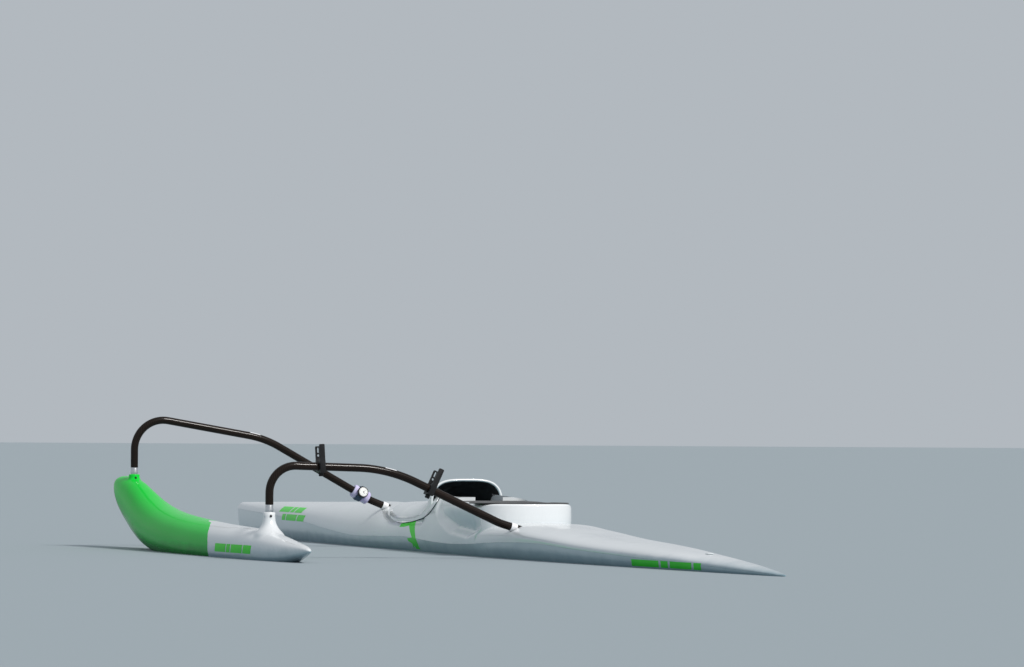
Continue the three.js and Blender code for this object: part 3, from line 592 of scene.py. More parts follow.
def carbon():
    """Clear-coated brown-black twill. Its grain is laid out in the tube's own map."""
    recipe = Recipe("carbon", (0.008, 0.006, 0.005), 0.33, coat=0.3, coat_roughness=0.1, specular=0.05)
    uv = recipe.add("ShaderNodeUVMap", uv_map="tube").outputs["UV"]
    tow = 0.0024
    across, along = (recipe.floor(recipe.math("DIVIDE", recipe.part(uv, axis), tow)) for axis in "XY")
    phase = recipe.math("FLOORED_MODULO", recipe.math("ADD", across, along), 4)
    over = recipe.math("LESS_THAN", phase, 2)
    weave = recipe.mix(over, (0.006, 0.0035, 0.0025), (0.016, 0.01, 0.007))
    worn = recipe.spread(recipe.noise(6, 3), 0.5, 0.75)
    recipe.set("Base Color", recipe.mix(worn, weave, (0.02, 0.012, 0.009)))
    recipe.set("Roughness", recipe.spread(recipe.noise(60, 3), 0.3, 0.7, 0.26, 0.42))
    recipe.bump(over, 0.00004, 0.3)
    return recipe.material


def brushed(name, color):
    """Metal turned and brushed round an upright axis."""
    recipe = Recipe(name, color, 0.32, metallic=1.0)
    lines = recipe.noise(40, 4, (1, 1, 60))
    recipe.set("Roughness", recipe.spread(lines, 0.3, 0.7, 0.24, 0.42))
    recipe.set("Base Color", recipe.mix(lines, color, shade(color, 0.82)))
    recipe.bump(lines, 0.00003, 0.5)
    return recipe.material


def moulding(name, color):
    """Moulded plastic with a fine grain and slightly rubbed places."""
    recipe = Recipe(name, color, 0.5, specular=0.3)
    rubbed = recipe.spread(recipe.noise(30, 4), 0.45, 0.75)
    recipe.set("Base Color", recipe.mix(rubbed, color, shade(color, 1.5, 0.004)))
    recipe.set("Roughness", recipe.spread(rubbed, 0, 1, 0.56, 0.38))
    recipe.bump(recipe.noise(900, 2), 0.00008, 0.5)
    return recipe.material


def tape(name, color):
    """Woven tape with slightly grubby places."""
    recipe = Recipe(name, color, 0.5)
    grubby = recipe.spread(recipe.noise(55, 4), 0.5, 0.8)
    recipe.set("Base Color", recipe.mix(grubby, color, shade(color, 0.8)))
    recipe.bump(recipe.noise(500, 2, (1, 3, 1)), 0.00006, 0.6)
    return recipe.material


def foam(name, color, dark, cell):
    """Closed-cell foam: small cells seen at its skin, and cloudy colour."""
    recipe = Recipe(name, color, 0.85)
    recipe.set("Sheen Weight", 0.25)
    values = [("Vector", recipe.place), ("Scale", cell)]
    cells = recipe.add("ShaderNodeTexVoronoi", values).outputs["Distance"]
    tone = recipe.mix(recipe.spread(recipe.noise(40, 4), 0.35, 0.7), color, dark)
    recipe.set("Base Color", recipe.mix(recipe.spread(cells, 0.0, 0.25, 0.35, 0), tone, dark))
    recipe.bump(cells, 0.0004, 0.6)
    return recipe.material


# Finishes: each a material and its slot
# In each gelcoat, the second colour is painted shade and painted reflection of the water on low sides and
# underside; the third is the waterline band, part wetness and part painted reflection.
WHITE = gelcoat(
    "gelcoat_white", (0.8, 0.82, 0.835), (0.38, 0.5, 0.55), (0.22, 0.33, 0.38)), "gelcoat_white"
GREEN = gelcoat(
    "gelcoat_green", (0.01, 0.62, 0.05), (0, 0.36, 0.03), (0, 0.16, 0.01), 0.12, 0.04), "gelcoat_green"
DECAL_GREEN = gelcoat(
    "decal_green", (0.08, 0.8, 0.05), (0.06, 0.66, 0.04), (0.03, 0.5, 0.03), 0.1, 0.05), "gelcoat_green"
CARBON = carbon(), "carbon"
ALUMINIUM = brushed("aluminium", (0.7, 0.71, 0.73)), "aluminium"
BLACK = moulding("black_plastic", (0.007, 0.007, 0.008)), "black_plastic"
GREY = moulding("grey_plastic", (0.09, 0.1, 0.11)), "black_plastic"
SEAL = moulding("shade_seal", (0.05, 0.055, 0.06)), "black_plastic"
BAND_WHITE = tape("band_white", (0.82, 0.82, 0.84)), "band_white"
PAD_FOAM = foam("seat_foam", (0.012, 0.012, 0.013), (0.024, 0.024, 0.026), 700), "seat_foam"
SLEEVE_FOAM = foam("sleeve_foam", (0.68, 0.64, 0.86), (0.5, 0.44, 0.72), 500), "sleeve_foam"
STRAP_RUBBER = moulding("strap", (0.045, 0.075, 0.12)), "strap"
DIAL = tape("dial", (0.85, 0.85, 0.83)), "dial"


# Hull
def well_outline(well, grow=0.0, bow_steps=22):
    """A well seen from above: a rounded bow at its aft end and round corners at its fore end."""
    half, fore, bow = well.half + grow, well.fore + grow, well.bow + grow
    corner = max(well.corner + grow, 0)
    port = []
    for i in range(bow_steps + 1):
        angle = math.pi / 2 * i / bow_steps
        forward = 1 - max(math.cos(angle), 0) ** (2 / BOW_SQUARENESS)
        port.append((well.aft - grow + bow * forward, half * math.sin(angle) ** (2 / BOW_SQUARENESS)))
    port += arc(fore - corner, half - corner, corner, 90, 0, 10 if corner > 0 else 0)
    return port[::-1] + [(x, -y) for x, y in port[1:]]


def well_stack(well, levels):
    """A block of a well's outline, drawn in by an inset at each level. levels: (inset, z)."""
    return loft([[(x, y, z) for x, y in well_outline(well, -inset)] for inset, z in levels])


def well_block(well, grow, low, high, low_round=0.0):
    """A block of a well's outline. low_round: radius of the edge round its floor."""
    levels = arc(low_round, low + low_round, low_round, -90, -180, 6 if low_round else 0)
    return well_stack(well, [(inset - grow, z) for inset, z in [*levels, (0, high)]])


def wall_block(well):
    """A well's block, grown by its wall."""
    return well_block(well, TUB_WALL + GAP, well.floor - TUB_WALL - GAP, COCKPIT_TOP)


def seat_box():
    """The seat box, drawn in round its top edge."""
    lip = SEAT_BOX_LIP
    edge = arc(lip, RIM_HEIGHT - lip, lip, 180, 90, 8)
    return well_stack(SEAT_BOX, [(0, -20), *edge, (lip, COCKPIT_TOP)])


def hull_loft(half_section):
    return loft([mirrored_ring(x, half_section(hull_form(x))) for x in HULL_PLACES])


def beside_seat():
    """What stands beside and behind the rounded back of the seat box, above the aft deck."""
    fore, half, ledge = -560, 200, 8
    corners = [(ROOM_AFT, -half), (fore, -half), (fore, half), (ROOM_AFT, half)]
    room = make_object("room", prism(corners, ledge, COCKPIT_TOP))
    places = spans((fore + 20, SEAT_END, 7), (SEAT_END, ROOM_AFT - 10, 12))
    under, low = [], []
    for x in sorted({*places, ROOM_AFT}, reverse=True):
        form = aft_form(x)
        under.append(mirrored_ring(x, with_foot(topside(form), form.chine - 60)))
        low.append([(x, y, z) for y, z in box(2 * half, -2 * half, form.chine + ledge)])
    return cut(room, seat_box(), loft(under), loft(low))


def side_at(form, z):
    """How far out the hull's side is at a height, from its form."""
    line = topside(form, 3 * TOPSIDE_POINTS) if z >= form.chine else bottom(form, 3 * BOTTOM_POINTS)
    return float(np.interp(z, line[:, 1], line[:, 0]))


def hull_side(x, z):
    return side_at(hull_form(x), z)


# Crossbeams' lines
def bent_path(iako):
    """The centreline of a crossbeam as points, from float to hull."""
    corners = [Vector((iako.x, y, z)) for y, z, _ in iako.outline]
    points = corners[:1]
    for i in range(1, len(corners) - 1):
        corner, radius = corners[i], iako.outline[i][2]
        before = (corners[i - 1] - corner).normalized()
        after = (corners[i + 1] - corner).normalized()
        turn = math.pi - before.angle(after)
        cut_back = radius * math.tan(turn / 2)
        centre = corner + (before + after).normalized() * radius / math.cos(turn / 2)
        start = corner + before * cut_back - centre
        axis = start.cross(corner + after * cut_back - centre).normalized()
        steps = max(2, round(radius * turn / TUBE_STEP))
        straight_to(points, centre + start)
        points += [centre + Matrix.Rotation(turn * k / steps, 3, axis) @ start for k in range(1, steps + 1)]
    straight_to(points, corners[-1])
    return points


def straight_to(points, end):
    """Adds a straight stretch, in short steps, to a list of points."""
    start = points[-1].copy()
    count = max(1, round((end - start).length / (3 * TUBE_STEP)))
    points += [start.lerp(end, k / count) for k in range(1, count + 1)]


class Line:
    """A line through points, read by the distance along it."""

    def __init__(self, points):
        self.points = np.array([tuple(p) for p in points])
        steps = np.linalg.norm(np.diff(self.points, axis=0), axis=1)
        self.run = np.concatenate(([0], np.cumsum(steps)))
        self.length = self.run[-1]

    def at(self, distance):
        return Vector([np.interp(distance, self.run, self.points[:, k]) for k in range(3)])

    def along(self, distance):
        low, high = max(distance - 2, 0), min(distance + 2, self.length)
        return (self.at(high) - self.at(low)).normalized()

    def where_y(self, y):
        """The distance along at which the line, past its upright start, comes in to y."""
        start = int(np.argmax(self.points[:, 1] < self.points[0, 1] - 1))
        return float(np.interp(-y, -self.points[start:, 1], self.run[start:]))


def swept(line, radius, start=0, end=None, step=TUBE_STEP, sides=ROUND, level=False):
    """Rings of a round tube along a line between two distances. level: for a line that runs mostly level."""
    end = line.length if end is None else end
    count = max(2, round((end - start) / step))
    rings = []
    for k in range(count + 1):
        distance = start + (end - start) * k / count
        along = line.along(distance)
        across = (along.cross(UP) if level else FORE - along * FORE.dot(along)).normalized()
        other = across.cross(along) if level else along.cross(across)
        rings.append([line.at(distance) + (across * u + other * v) * radius for u, v in circle(sides)])
    return rings


def surface_back(iako):
    """How far back from its hidden end a crossbeam's centreline comes out of the deck."""
    for back in range(1, int(iako.line.length / 2)):
        point = iako.line.at(iako.line.length - back)
        form = hull_form(point.x)
        up = (point.z - form.chine) / (form.crown - form.chine)
        if up >= 1:
            return back
        if up > 0:
            out = (1 - up ** form.fullness) ** (1 / form.fullness)
            if abs(point.y) > (form.beam + (form.top - form.beam) * up) * out:
                return back


for iako in IAKOS:
    iako.line = Line(bent_path(iako))
    iako.length = iako.line.length
    iako.sunk = surface_back(iako)
    iako.end = (iako.line.at(iako.length), iako.line.along(iako.length))
    iako.bore = loft(swept(iako.line, TUBE_RADIUS + GAP, iako.length - BORE_LENGTH))

rudder_form = aft_form(RUDDER_X)


def make_hull():
    """Deck and bottom as two closed mouldings that meet at the chine."""
    room = beside_seat()
    wells = [wall_block(well) for well in (SEAT, FOOTWELL)]
    rudder_bore = rod(BEARING.outer + GAP, -200, 200, place=(RUDDER_X, 0, 0))
    pockets = [
        rod(POCKET.radius, -iako.sunk - POCKET.length, POCKET.sunk - iako.sunk, 48, *iako.end)
        for iako in IAKOS
    ]
    bores = [iako.bore for iako in IAKOS]

    deck = make_object("deck_shell", hull_loft(
        lambda form: with_foot(topside(form, lift=GAP), form.chine + GAP)))
    cut(deck, room, *wells, rudder_bore, *pockets, *bores)
    finish_piece(deck, WHITE, "deck")

    lower = make_object("bottom_shell", hull_loft(lambda form: np.vstack((bottom(form), [0, form.chine]))))
    cut(lower, *wells, rudder_bore, *bores)
    finish_piece(lower, WHITE, "hull_bottom")

    whole = make_object("whole", hull_loft(lambda form: np.vstack((bottom(form)[:-1], topside(form)))))
    cut(whole, room)
    drop(room)
    return whole


def make_tub(whole):
    """The seat pan and the footwell as one thin moulding, trimmed to the deck."""
    tub = make_object("tub", well_block(SEAT, TUB_WALL, SEAT.floor - TUB_WALL, COCKPIT_TOP - 5))
    join(tub, well_block(FOOTWELL, TUB_WALL, FOOTWELL.floor - TUB_WALL, COCKPIT_TOP - 6))
    cut(tub, well_block(SEAT, 0, SEAT.floor, COCKPIT_TOP, low_round=10))
    cut(tub, well_block(FOOTWELL, 0, FOOTWELL.floor, COCKPIT_TOP, low_round=18))
    common(tub, whole)
    finish_piece(tub, WHITE, "cockpit_tub")


# Cowl
cowl_form = reader("x half edge crest fullness", [
    (COWL_FORE_X, 60, 126, 170, 2),
    (590, 112, 112, 178, 1.9),
    (466, 136, 100, 181, 1.85),
    (390, 144, 97, 184, 1.85),
    (324, 147, 97, 188, 1.8),
    (250, 149, 98, 195, 1.8),
    (180, 150, 101, 207, 1.75),
    (107, 150, 107, 226, 1.75),
    (30, 148, 122, 256, 2),
    (COWL_AFT_X, 143, 140, 271, 3.6),
])
COWL_FOOT = 40
COWL_LIP = 4.8
# The black sheet inside the cowl, painted shade: how far in from the shell and how thick.
COWL_SHADE_SHEET = Sizes(inset=0.15, thickness=1.25)
SEAM = Sizes(radius=2, out=1.2, down=0.6)
# The cowl's lower edge seen from the side, x and z, from its fore end back to the foot of the rim
COWL_EDGE = [
    (655, 160), (617, 137), (513, 119), (394, 106), (301, 101), (194, 107), (119, 115), (50, 124),
    (-30, 138), (-62, 155), (-82, 174), (-89, 194), (COWL_AFT_X, 215),
]


def cowl_arch(form, inset=0.0, count=40):
    """Half an arch of the cowl from its edge to its crest, as rows of y, z."""
    return bulge(max(form.half - inset, 1), form.edge, form.crest - inset - form.edge, form.fullness, count)


def cowl_body(inset, aft_reach):
    """The cowl's form, drawn in by an inset and carried on aft of its opening."""
    rings = []
    places = spans((COWL_FORE_X, COWL_AFT_X, 12)) + ([COWL_AFT_X - aft_reach] if aft_reach > 0 else [])
    for x in places:
        form = cowl_form(max(x, COWL_AFT_X))
        foot = form.edge - COWL_FOOT - inset
        arch = cowl_arch(form, inset)
        rings.append(mirrored_ring(x, with_foot(np.vstack(([arch[0, 0], foot], arch)), foot)))
    return loft(rings)


def rounded_edge():
    """The cowl's edge with its corners rounded off, as x, z."""
    points = np.array(COWL_EDGE, float)
    for _ in range(3):
        quarter_on = points[:-1] * 0.75 + points[1:] * 0.25
        quarter_back = points[:-1] * 0.25 + points[1:] * 0.75
        between = np.stack((quarter_on, quarter_back), 1).reshape(-1, 2)
        points = np.vstack((points[:1], between, points[-1:]))
    return points


def cowl_skirt():
    """The cowl's skirt: the skin of the hull's side, standing proud of it, still open below."""
    rings = []
    for x in spans((COWL_FORE_X, -120, 8)):
        form = hull_form(x)
        rings.append(mirrored_ring(x, with_foot(topside(form, grow=COWL_SKIRT), form.chine - 20)))
    return cut(make_object("skirt", loft(rings)), cowl_body(COWL_WALL, -1), wall_block(FOOTWELL))


def make_cowl(whole):
    """The cowl over the footwell: a thin shell with a rolled lip, a skirt on the hull and a black sheet
    inside it, painted shade for the inside of its mouth.
    """
    cowl = make_object("cowl_shell", cowl_body(0, 0))
    skirt = cowl_skirt()
    cut(cowl, cowl_body(COWL_WALL, 30))
    join(cowl, skirt)
    drop(skirt)
    corners = [(COWL_AFT_X, COCKPIT_TOP), (COWL_EDGE[0][0], COCKPIT_TOP), *rounded_edge()]
    above_edge = prism(corners, -400, 400, axis=1)
    common(cowl, above_edge)
    form = cowl_form(COWL_AFT_X)
    arch = cowl_arch(form, COWL_LIP, 60)
    port = [(arch[0, 0], form.edge - 30), *arch]
    lip = Line([(COWL_AFT_X + 1, y, z) for y, z in port + [(-y, z) for y, z in port[-2::-1]]])
    join(cowl, loft(swept(lip, COWL_LIP, step=5, sides=20)))
    cut(cowl, whole)
    finish_piece(cowl, WHITE, "cowl")

    # A black sheet just inside the shell: painted shade for the dark inside of the cowl's mouth.
    inset = COWL_WALL + COWL_SHADE_SHEET.inset
    shade_sheet = make_object("cowl_shade_sheet", cowl_body(inset, -2))
    cut(shade_sheet, cowl_body(inset + COWL_SHADE_SHEET.thickness, 30), whole)
    common(shade_sheet, above_edge)
    finish_piece(shade_sheet, BLACK)


def make_cowl_seam():
    """The dark bead that seals the cowl's skirt to the hull, along its lower edge on each side."""
    edge = rounded_edge()[1:-2]
    for side, name in SIDES:
        seam = Line([(x, side * (hull_side(x, z) + SEAM.out), z - SEAM.down) for x, z in edge])
        piece("cowl_seam_" + name, loft(swept(seam, SEAM.radius, step=6, sides=10, level=True)), SEAL)


# Float
AMA_FORE_X, AMA_AFT_X = 914, -1467
AMA_END_ROUNDING = 12
AMA_VOXEL = 5.0
ama_form = reader("x half bottom top fullness", [
    (AMA_FORE_X, 26, 224, 256, 2.6),
    (898, 35, 196, 266, 2.6),
    (852, 43, 154, 271, 2.5),
    (774, 50, 112, 268, 2.4),
    (681, 56, 73, 255, 2.3),
    (588, 62, 41, 231, 2.3),
    (449, 70, 8, 195, 2.3),
    (263, 78, -18, 162, 2.3),
    (30, 84, -36, 139, 2.3),
    (-250, 86, -45, 124, 2.3),
    (-531, 84, -46, 113, 2.3),
    (-812, 76, -42, 106, 2.3),
    (-1000, 66, -36, 98, 2.3),
    (-1170, 52, -24, 83, 2.2),
    (-1302, 36, -2, 69, 2.2),
    (-1415, 20, 22, 57, 2.2),
    (AMA_AFT_X, 8, 34, 47, 2.2),
])
# Each post's depth below its top, with its half lengths along and across the float there
POST_TOP_ROWS = [(0, 18.5, 18.5), (-2, 20.5, 20.5), (-20, 22, 21.5)]
POST_FOOT_ROWS = {
    "front": [(-36, 30, 26), (-60, 44, 30)],
    "rear": [(-36, 27, 24), (-49, 36, 29), (-60, 52, 36), (-72, 78, 46), (-88, 104, 52)],
}
POST_CAP = Sizes(radius=20.5, chamfer=2.2, depth=19)  # the sharp-edged top of each post
# Where green meets white on the float, seen from the side, x and z from above it down to below it
SPLIT = [
    (-240, 700), (-240, 140), (-285, 122.4), (-395, 115.4), (-456, 104.6), (-488, 94), (-506, 83), (-527, 69),
    (-545, 48), (-548, -400),
]


def float_y(x):
    """The float's centreline in plan."""
    return FLOAT_LINE.y + (x - FLOAT_LINE.x) * FLOAT_LINE.toe


def ama_section(form, count=56):
    """Half a section of the float from its keel to its top, as rows of y, z."""
    middle, tall = (form.top + form.bottom) / 2, (form.top - form.bottom) / 2
    return bulge(form.half, middle, tall, form.fullness, count, whole=True)


def ama_side(x, z):
    half = ama_section(ama_form(x), 120)
    return float(np.interp(z, half[:, 1], half[:, 0]))


def ama_ring(x):
    form = ama_form(x)
    into_end = 1 - min(AMA_FORE_X - x, x - AMA_AFT_X) / AMA_END_ROUNDING
    if into_end > 0:
        share = math.sqrt(max(1 - into_end ** 2, 0.05))
        middle = (form.top + form.bottom) / 2
        form.half *= share
        form.top, form.bottom = (middle + (edge - middle) * share for edge in (form.top, form.bottom))
    return mirrored_ring(x, ama_section(form), float_y(x))


def ama_post(iako):
    rows = POST_TOP_ROWS + POST_FOOT_ROWS[iako.name]
    read = reader("depth along across", rows)
    rings = []
    for depth in spans((0, -2, 1), (-2, rows[-1][0], 3)):
        level = read(depth)
        rings.append([
            (iako.x + level.along * u, float_y(iako.x) + level.across * v, iako.boss_top + depth)
            for u, v in circle(48)
        ])
    return loft(rings)


def post_top(iako):
    return Vector((iako.x, float_y(iako.x), iako.boss_top))


def button_rod(iako, grow, low, high, soft=0.0):
    """A rod on the axis of the lock button in a float's post."""
    place = post_top(iako) + BUTTON_FACES * BUTTON.from_axis - UP * BUTTON.down
    return rod(BUTTON.radius + grow, low, high, 24, place, BUTTON_FACES, soft)


def make_ama():
    """The float, smooth into its posts, green ahead of a slanted line and white behind it."""
    places = spans(
        (AMA_FORE_X, 890, 4), (890, 770, 10), (770, -1290, 20), (-1290, -1452, 10), (-1452, AMA_AFT_X, 3))
    nose = make_object("ama_nose", loft([ama_ring(x) for x in places]))
    join(nose, *[ama_post(iako) for iako in IAKOS])
    modify(nose, "REMESH", mode="VOXEL", voxel_size=AMA_VOXEL * MM)
    modify(nose, "SMOOTH", factor=0.5, iterations=14)
    settle(nose)
    radius, chamfer, depth = POST_CAP.radius, POST_CAP.chamfer, POST_CAP.depth
    profile = [(0, -depth), (radius - 1, -depth), (radius, -depth + 2)]
    profile += [(radius, -chamfer), (radius - chamfer, 0), (0, 0)]
    for iako in IAKOS:
        top = post_top(iako)
        join(nose, turned(profile, 40, top))
        cut(nose, rod(INSERT.radius + GAP, -INSERT.sunk - GAP, 30, 48, top))
        cut(nose, button_rod(iako, GAP, -BUTTON.sunk - GAP, 30))
    tail = link_object("ama_tail", nose.data.copy())
    wedge = prism(SPLIT + [(-2000, -400), (-2000, 700)], 400, 1700, axis=1)
    finish_piece(cut(nose, wedge), GREEN, "ama", sharp=50)
    finish_piece(common(tail, wedge), WHITE, "ama", sharp=50)


# Crossbeams
def map_tube(obj, rings):
    """Lays a map in metres over a swept tube: round it across, and along it up."""
    rings = np.array([[tuple(p) for p in ring] for ring in rings])
    rows, sides = rings.shape[:2]
    girth = np.linalg.norm(rings[0, 0] - rings[0, 1]) * sides * MM
    run = np.concatenate(([0], np.cumsum(np.linalg.norm(np.diff(rings.mean(1), axis=0), axis=1)))) * MM
    layer = obj.data.uv_layers.new(name="tube")
    for polygon in obj.data.polygons:
        places = [divmod(vertex, sides) for vertex in polygon.vertices]
        wraps = any(side == sides - 1 for _, side in places)
        for loop, (row, side) in zip(polygon.loop_indices, places):
            around = side + (sides if side == 0 and wraps else 0)
            layer.data[loop].uv = (around / sides * girth, run[min(row, rows - 1)])


def tube_label(line, middle):
    """A thin sheet laid on top of a tube, following its curve."""
    turns = [LABEL.angle * (k / 10 - 0.5) for k in range(11)]
    rings = []
    for i in range(9):
        distance = middle + LABEL.length * (i / 8 - 0.5)
        along = line.along(distance)
        up = (UP - along * along.z).normalized()
        side = along.cross(up)
        rings.append([
            line.at(distance) + (up * math.cos(a) + side * math.sin(a)) * (TUBE_RADIUS + proud)
            for proud, angles in ((LABEL.proud, turns), (-LABEL.sunk, turns[::-1])) for a in angles
        ])
    return loft(rings)


def make_iakos():
    radius, shown = INSERT.radius, INSERT.shown - GAP
    for iako in IAKOS:
        name, line = iako.name, iako.line
        rings = swept(line, TUBE_RADIUS)
        tube = make_object("beam_" + name, loft(rings))
        map_tube(tube, rings)
        finish_piece(tube, CARBON, "iako_" + name)

        collar = turned([
            (0, -INSERT.sunk), (radius, -INSERT.sunk), (radius, 4), (radius + 0.25, 5), (radius + 0.25, 9),
            (radius, 10), (radius, shown - 2.7), (radius - 0.6, shown - 1.5), (radius - 0.6, shown),
            (0, shown),
        ], 48, post_top(iako))
        piece("collar_" + name, collar, ALUMINIUM, "ama_insert_" + name)

        spot = line.length - iako.sunk - BAND.from_mouth
        at = (48, line.at(spot), line.along(spot))
        outer = TUBE_RADIUS + GAP + BAND.thickness
        band = pipe(TUBE_RADIUS + 0.15, outer, -BAND.length / 2, BAND.length / 2, *at, soft=0.6)
        turn_of_tape = pipe(TUBE_RADIUS + 0.2, outer + 0.25, -5, 4, *at, soft=0.2)
        piece("band_" + name, merged(band, turn_of_tape), BAND_WHITE, "iako_band_" + name)

        button = button_rod(iako, 0, -BUTTON.sunk, BUTTON.out, soft=1.2)
        piece("button_" + name, button, BLACK, "lock_button_" + name)
        piece("label_" + name, tube_label(line, line.where_y(iako.label_y)), BAND_WHITE)


def socket_shade_seals(whole):
    """The dark rubber round each tube where it enters the deck, flush with the deck; its black fills the
    socket's recess and stands as painted shade of that recess.
    """
    for iako in IAKOS:
        # Black rubber filling the recess at the tube's mouth: painted shade in place of the recess's own
        # shadow.
        shade_seal = make_object("socket_shade_seal_" + iako.name, rod(
            POCKET.radius - 0.3, -iako.sunk - 90, POCKET.sunk - iako.sunk - 0.5, 48, *iako.end))
        cut(shade_seal, loft(swept(iako.line, TUBE_RADIUS + 0.1, iako.length - BORE_LENGTH, iako.length + 1)))
        common(shade_seal, whole)
        finish_piece(shade_seal, BLACK)


# Paddle rests
def make_rests():
    line = IAKOS[1].line
    half, block, inner = REST.width / 2, REST.block, REST.gap / 2
    outer = inner + REST.prong
    for number, (y, lean) in enumerate(RESTS, 1):
        distance = line.where_y(y)
        middle, along = line.at(distance), line.along(distance)
        up = along.cross(FORE).normalized()
        up = Matrix.Rotation(-math.radians(lean), 3, FORE) @ (up if up.z > 0 else -up)
        across = up.cross(FORE)
        axes = (FORE, across, up)
        body = make_object(f"rest_{number}", plate(box(half, -block, block), axes, middle, -outer, outer))
        for side, reach in PRONG_REACH.items():
            tip = arc(half - 0.5 - 4, reach - 4, 4, 0, 90, 6)
            prong = [(0.5 - half, -4), (half - 0.5, -4)] + tip + [(-u, v) for u, v in tip[::-1]]
            join(body, plate(prong, axes, middle, *sorted((side * inner, side * outer))))
        saddle = make_object("saddle", plate(
            box(SADDLE.half, block - SADDLE.below, block + SADDLE.above), axes, middle, -inner, inner))
        trough_at = middle + up * (block + SADDLE.above)
        common(saddle, rod(SADDLE.radius, -SADDLE.half, SADDLE.half, 40, trough_at, across))
        cut(body, saddle)
        drop(saddle)
        soften(body, 1.4)
        cut(body, rod(PRONG_HOLE.radius, 0, 60, 28, middle + up * PRONG_HOLE.up, FORE))
        slot = arc(0, PRONG_SLOT.half, PRONG_SLOT.radius, 0, 180, 10)
        slot += arc(0, -PRONG_SLOT.half, PRONG_SLOT.radius, 180, 360, 10)
        cut(body, plate(slot, axes, middle + up * PRONG_SLOT.up, 0, 60))
        cut(body, loft(swept(line, TUBE_RADIUS + 0.15, distance - 40, distance + 40, step=4)))
        finish_piece(body, BLACK, f"paddle_rest_{number}")

        knob_from, long = block + GAP, REST.knob_length
        flutes = []
        for level, swell in ((0, -1.2), (1.2, 0), (long - 1.6, 0), (long, -1.6)):
            centre = middle - up * (knob_from + level)
            flutes.append([
                centre + (FORE * u + across * v)
                * (REST.knob_radius + swell + 0.55 * (math.cos(9 * math.atan2(v, u)) - 1))
                for u, v in circle(72)
            ])
        piece(f"knob_{number}", loft(flutes), BLACK, f"rest_knob_{number}")
        bolt_end = knob_from + long
        piece(f"bolt_{number}", rod(3, bolt_end - 4, bolt_end + 0.8, 24, middle, -up, soft=0.6), ALUMINIUM)


# Instrument
def make_instrument():
    line = IAKOS[0].line
    spot, foam_spot = line.where_y(WATCH_Y), line.where_y(SLEEVE.y)
    place, along = line.at(spot), line.along(spot)
    up = (WATCH_FACES - along * WATCH_FACES.dot(along)).normalized()
    side = along.cross(up)

    def around(angle):
        return side * math.cos(angle) + along * math.sin(angle)

    half = SLEEVE.length / 2
    profile = [(TUBE_RADIUS + 0.15, -half)]
    for share in np.linspace(-1, 1, 29):
        shrink = 5 * max(0, abs(share) - SLEEVE.straight) / (1 - SLEEVE.straight)
        from_strap = foam_spot + half * share - spot
        pinch = SLEEVE.pinch * math.exp(-(from_strap / SLEEVE.pinch_reach) ** 4)
        profile.append((SLEEVE.radius - shrink ** 1.5 / 3 - pinch, half * share))
    profile.append((TUBE_RADIUS + 0.15, half))
    sleeve = turned(profile, FINE, line.at(foam_spot), line.along(foam_spot))
    piece("sleeve", sleeve, SLEEVE_FOAM, "foam_sleeve")

    inner, outer = SLEEVE.radius - STRAP.sunk, SLEEVE.radius + 2 * GAP + STRAP.thickness
    half, steps = STRAP.length / 2, STRAP.ribs
    ribs = []
    for i in range(steps + 1):
        down = (STRAP.rib if i % 2 else 0) + (1 if i in (0, steps) else 0)
        ribs.append((outer - down, STRAP.length * (i / steps - 0.5)))
    strap = turned([(inner, -half), *ribs, (inner, half)], FINE, place, along)
    keeper = pipe(outer - 0.6, outer + 1.1, -4, 4, FINE, place - along * 5, along)
    piece("strap", merged(strap, keeper), STRAP_RUBBER, "watch_strap")

    base = SLEEVE.radius + STRAP.thickness + 3 * GAP
    radius, top = WATCH.radius, base + WATCH.height
    case = turned([
        (0, base), (radius - 4, base), (radius - 1, base + 2), (radius - 1, top - 5), (radius, top - 4),
        (radius, top - 1), (radius - 1, top), (radius - 3.2, top), (radius - 3.9, top - 0.8), (0, top - 0.8),
    ], FINE, place, up)
    pushers = [
        rod(2.4, radius - 2.5, radius + 2.2, 20, place + up * (base + 6), around(a), soft=0.7)
        for a in (0.5, -0.5, math.pi + 0.5, math.pi - 0.5)
    ]
    hours = [math.pi * k / 6 for k in range(12)]
    notches = [
        rod(1.1, top - 3, top + 0.4, 10, place + around(a) * (radius - 1.7), up, soft=0.3) for a in hours
    ]
    piece("case", merged(case, *pushers, *notches), BLACK, "watch_case")

    face = top + GAP + WATCH.dial_height
    piece("dial", rod(WATCH.dial_radius, top - 0.5, face, FINE, place, up, soft=0.4), DIAL, "watch_dial")

    def mark(angle, from_middle, long, wide, lift=0.0):
        """A raised bar on the dial, pointing out from its middle."""
        out = around(angle)
        centre = place + up * (face + lift) + out * from_middle
        return plate(box(long / 2, -wide / 2, wide / 2), (up, out, up.cross(out)), centre, -0.1, 0.3)

    marks = []
    for k, angle in enumerate(hours):
        long, wide = (2.0, 0.7) if k % 3 else (3.4, 1.1)
        marks.append(mark(angle, WATCH.dial_radius - 1.4 - long / 2, long, wide))
    for angle, long, wide in ((0.9, 9.5, 1.3), (2.7, 13, 0.9)):
        marks.append(mark(angle, long / 2 - 2, long, wide, 0.3))
    marks.append(rod(1.4, face, face + 0.9, 20, place, up, soft=0.3))
    piece("dial_marks", merged(*marks), BLACK)


# Rudder
def foil(along):
    """Half thickness of a symmetrical foil of unit thickness, from nose to tail."""
    terms = ((0.5, 1.48), (1, -0.63), (2, -1.76), (3, 1.42), (4, -0.51))
    return sum(factor * along ** power for power, factor in terms)


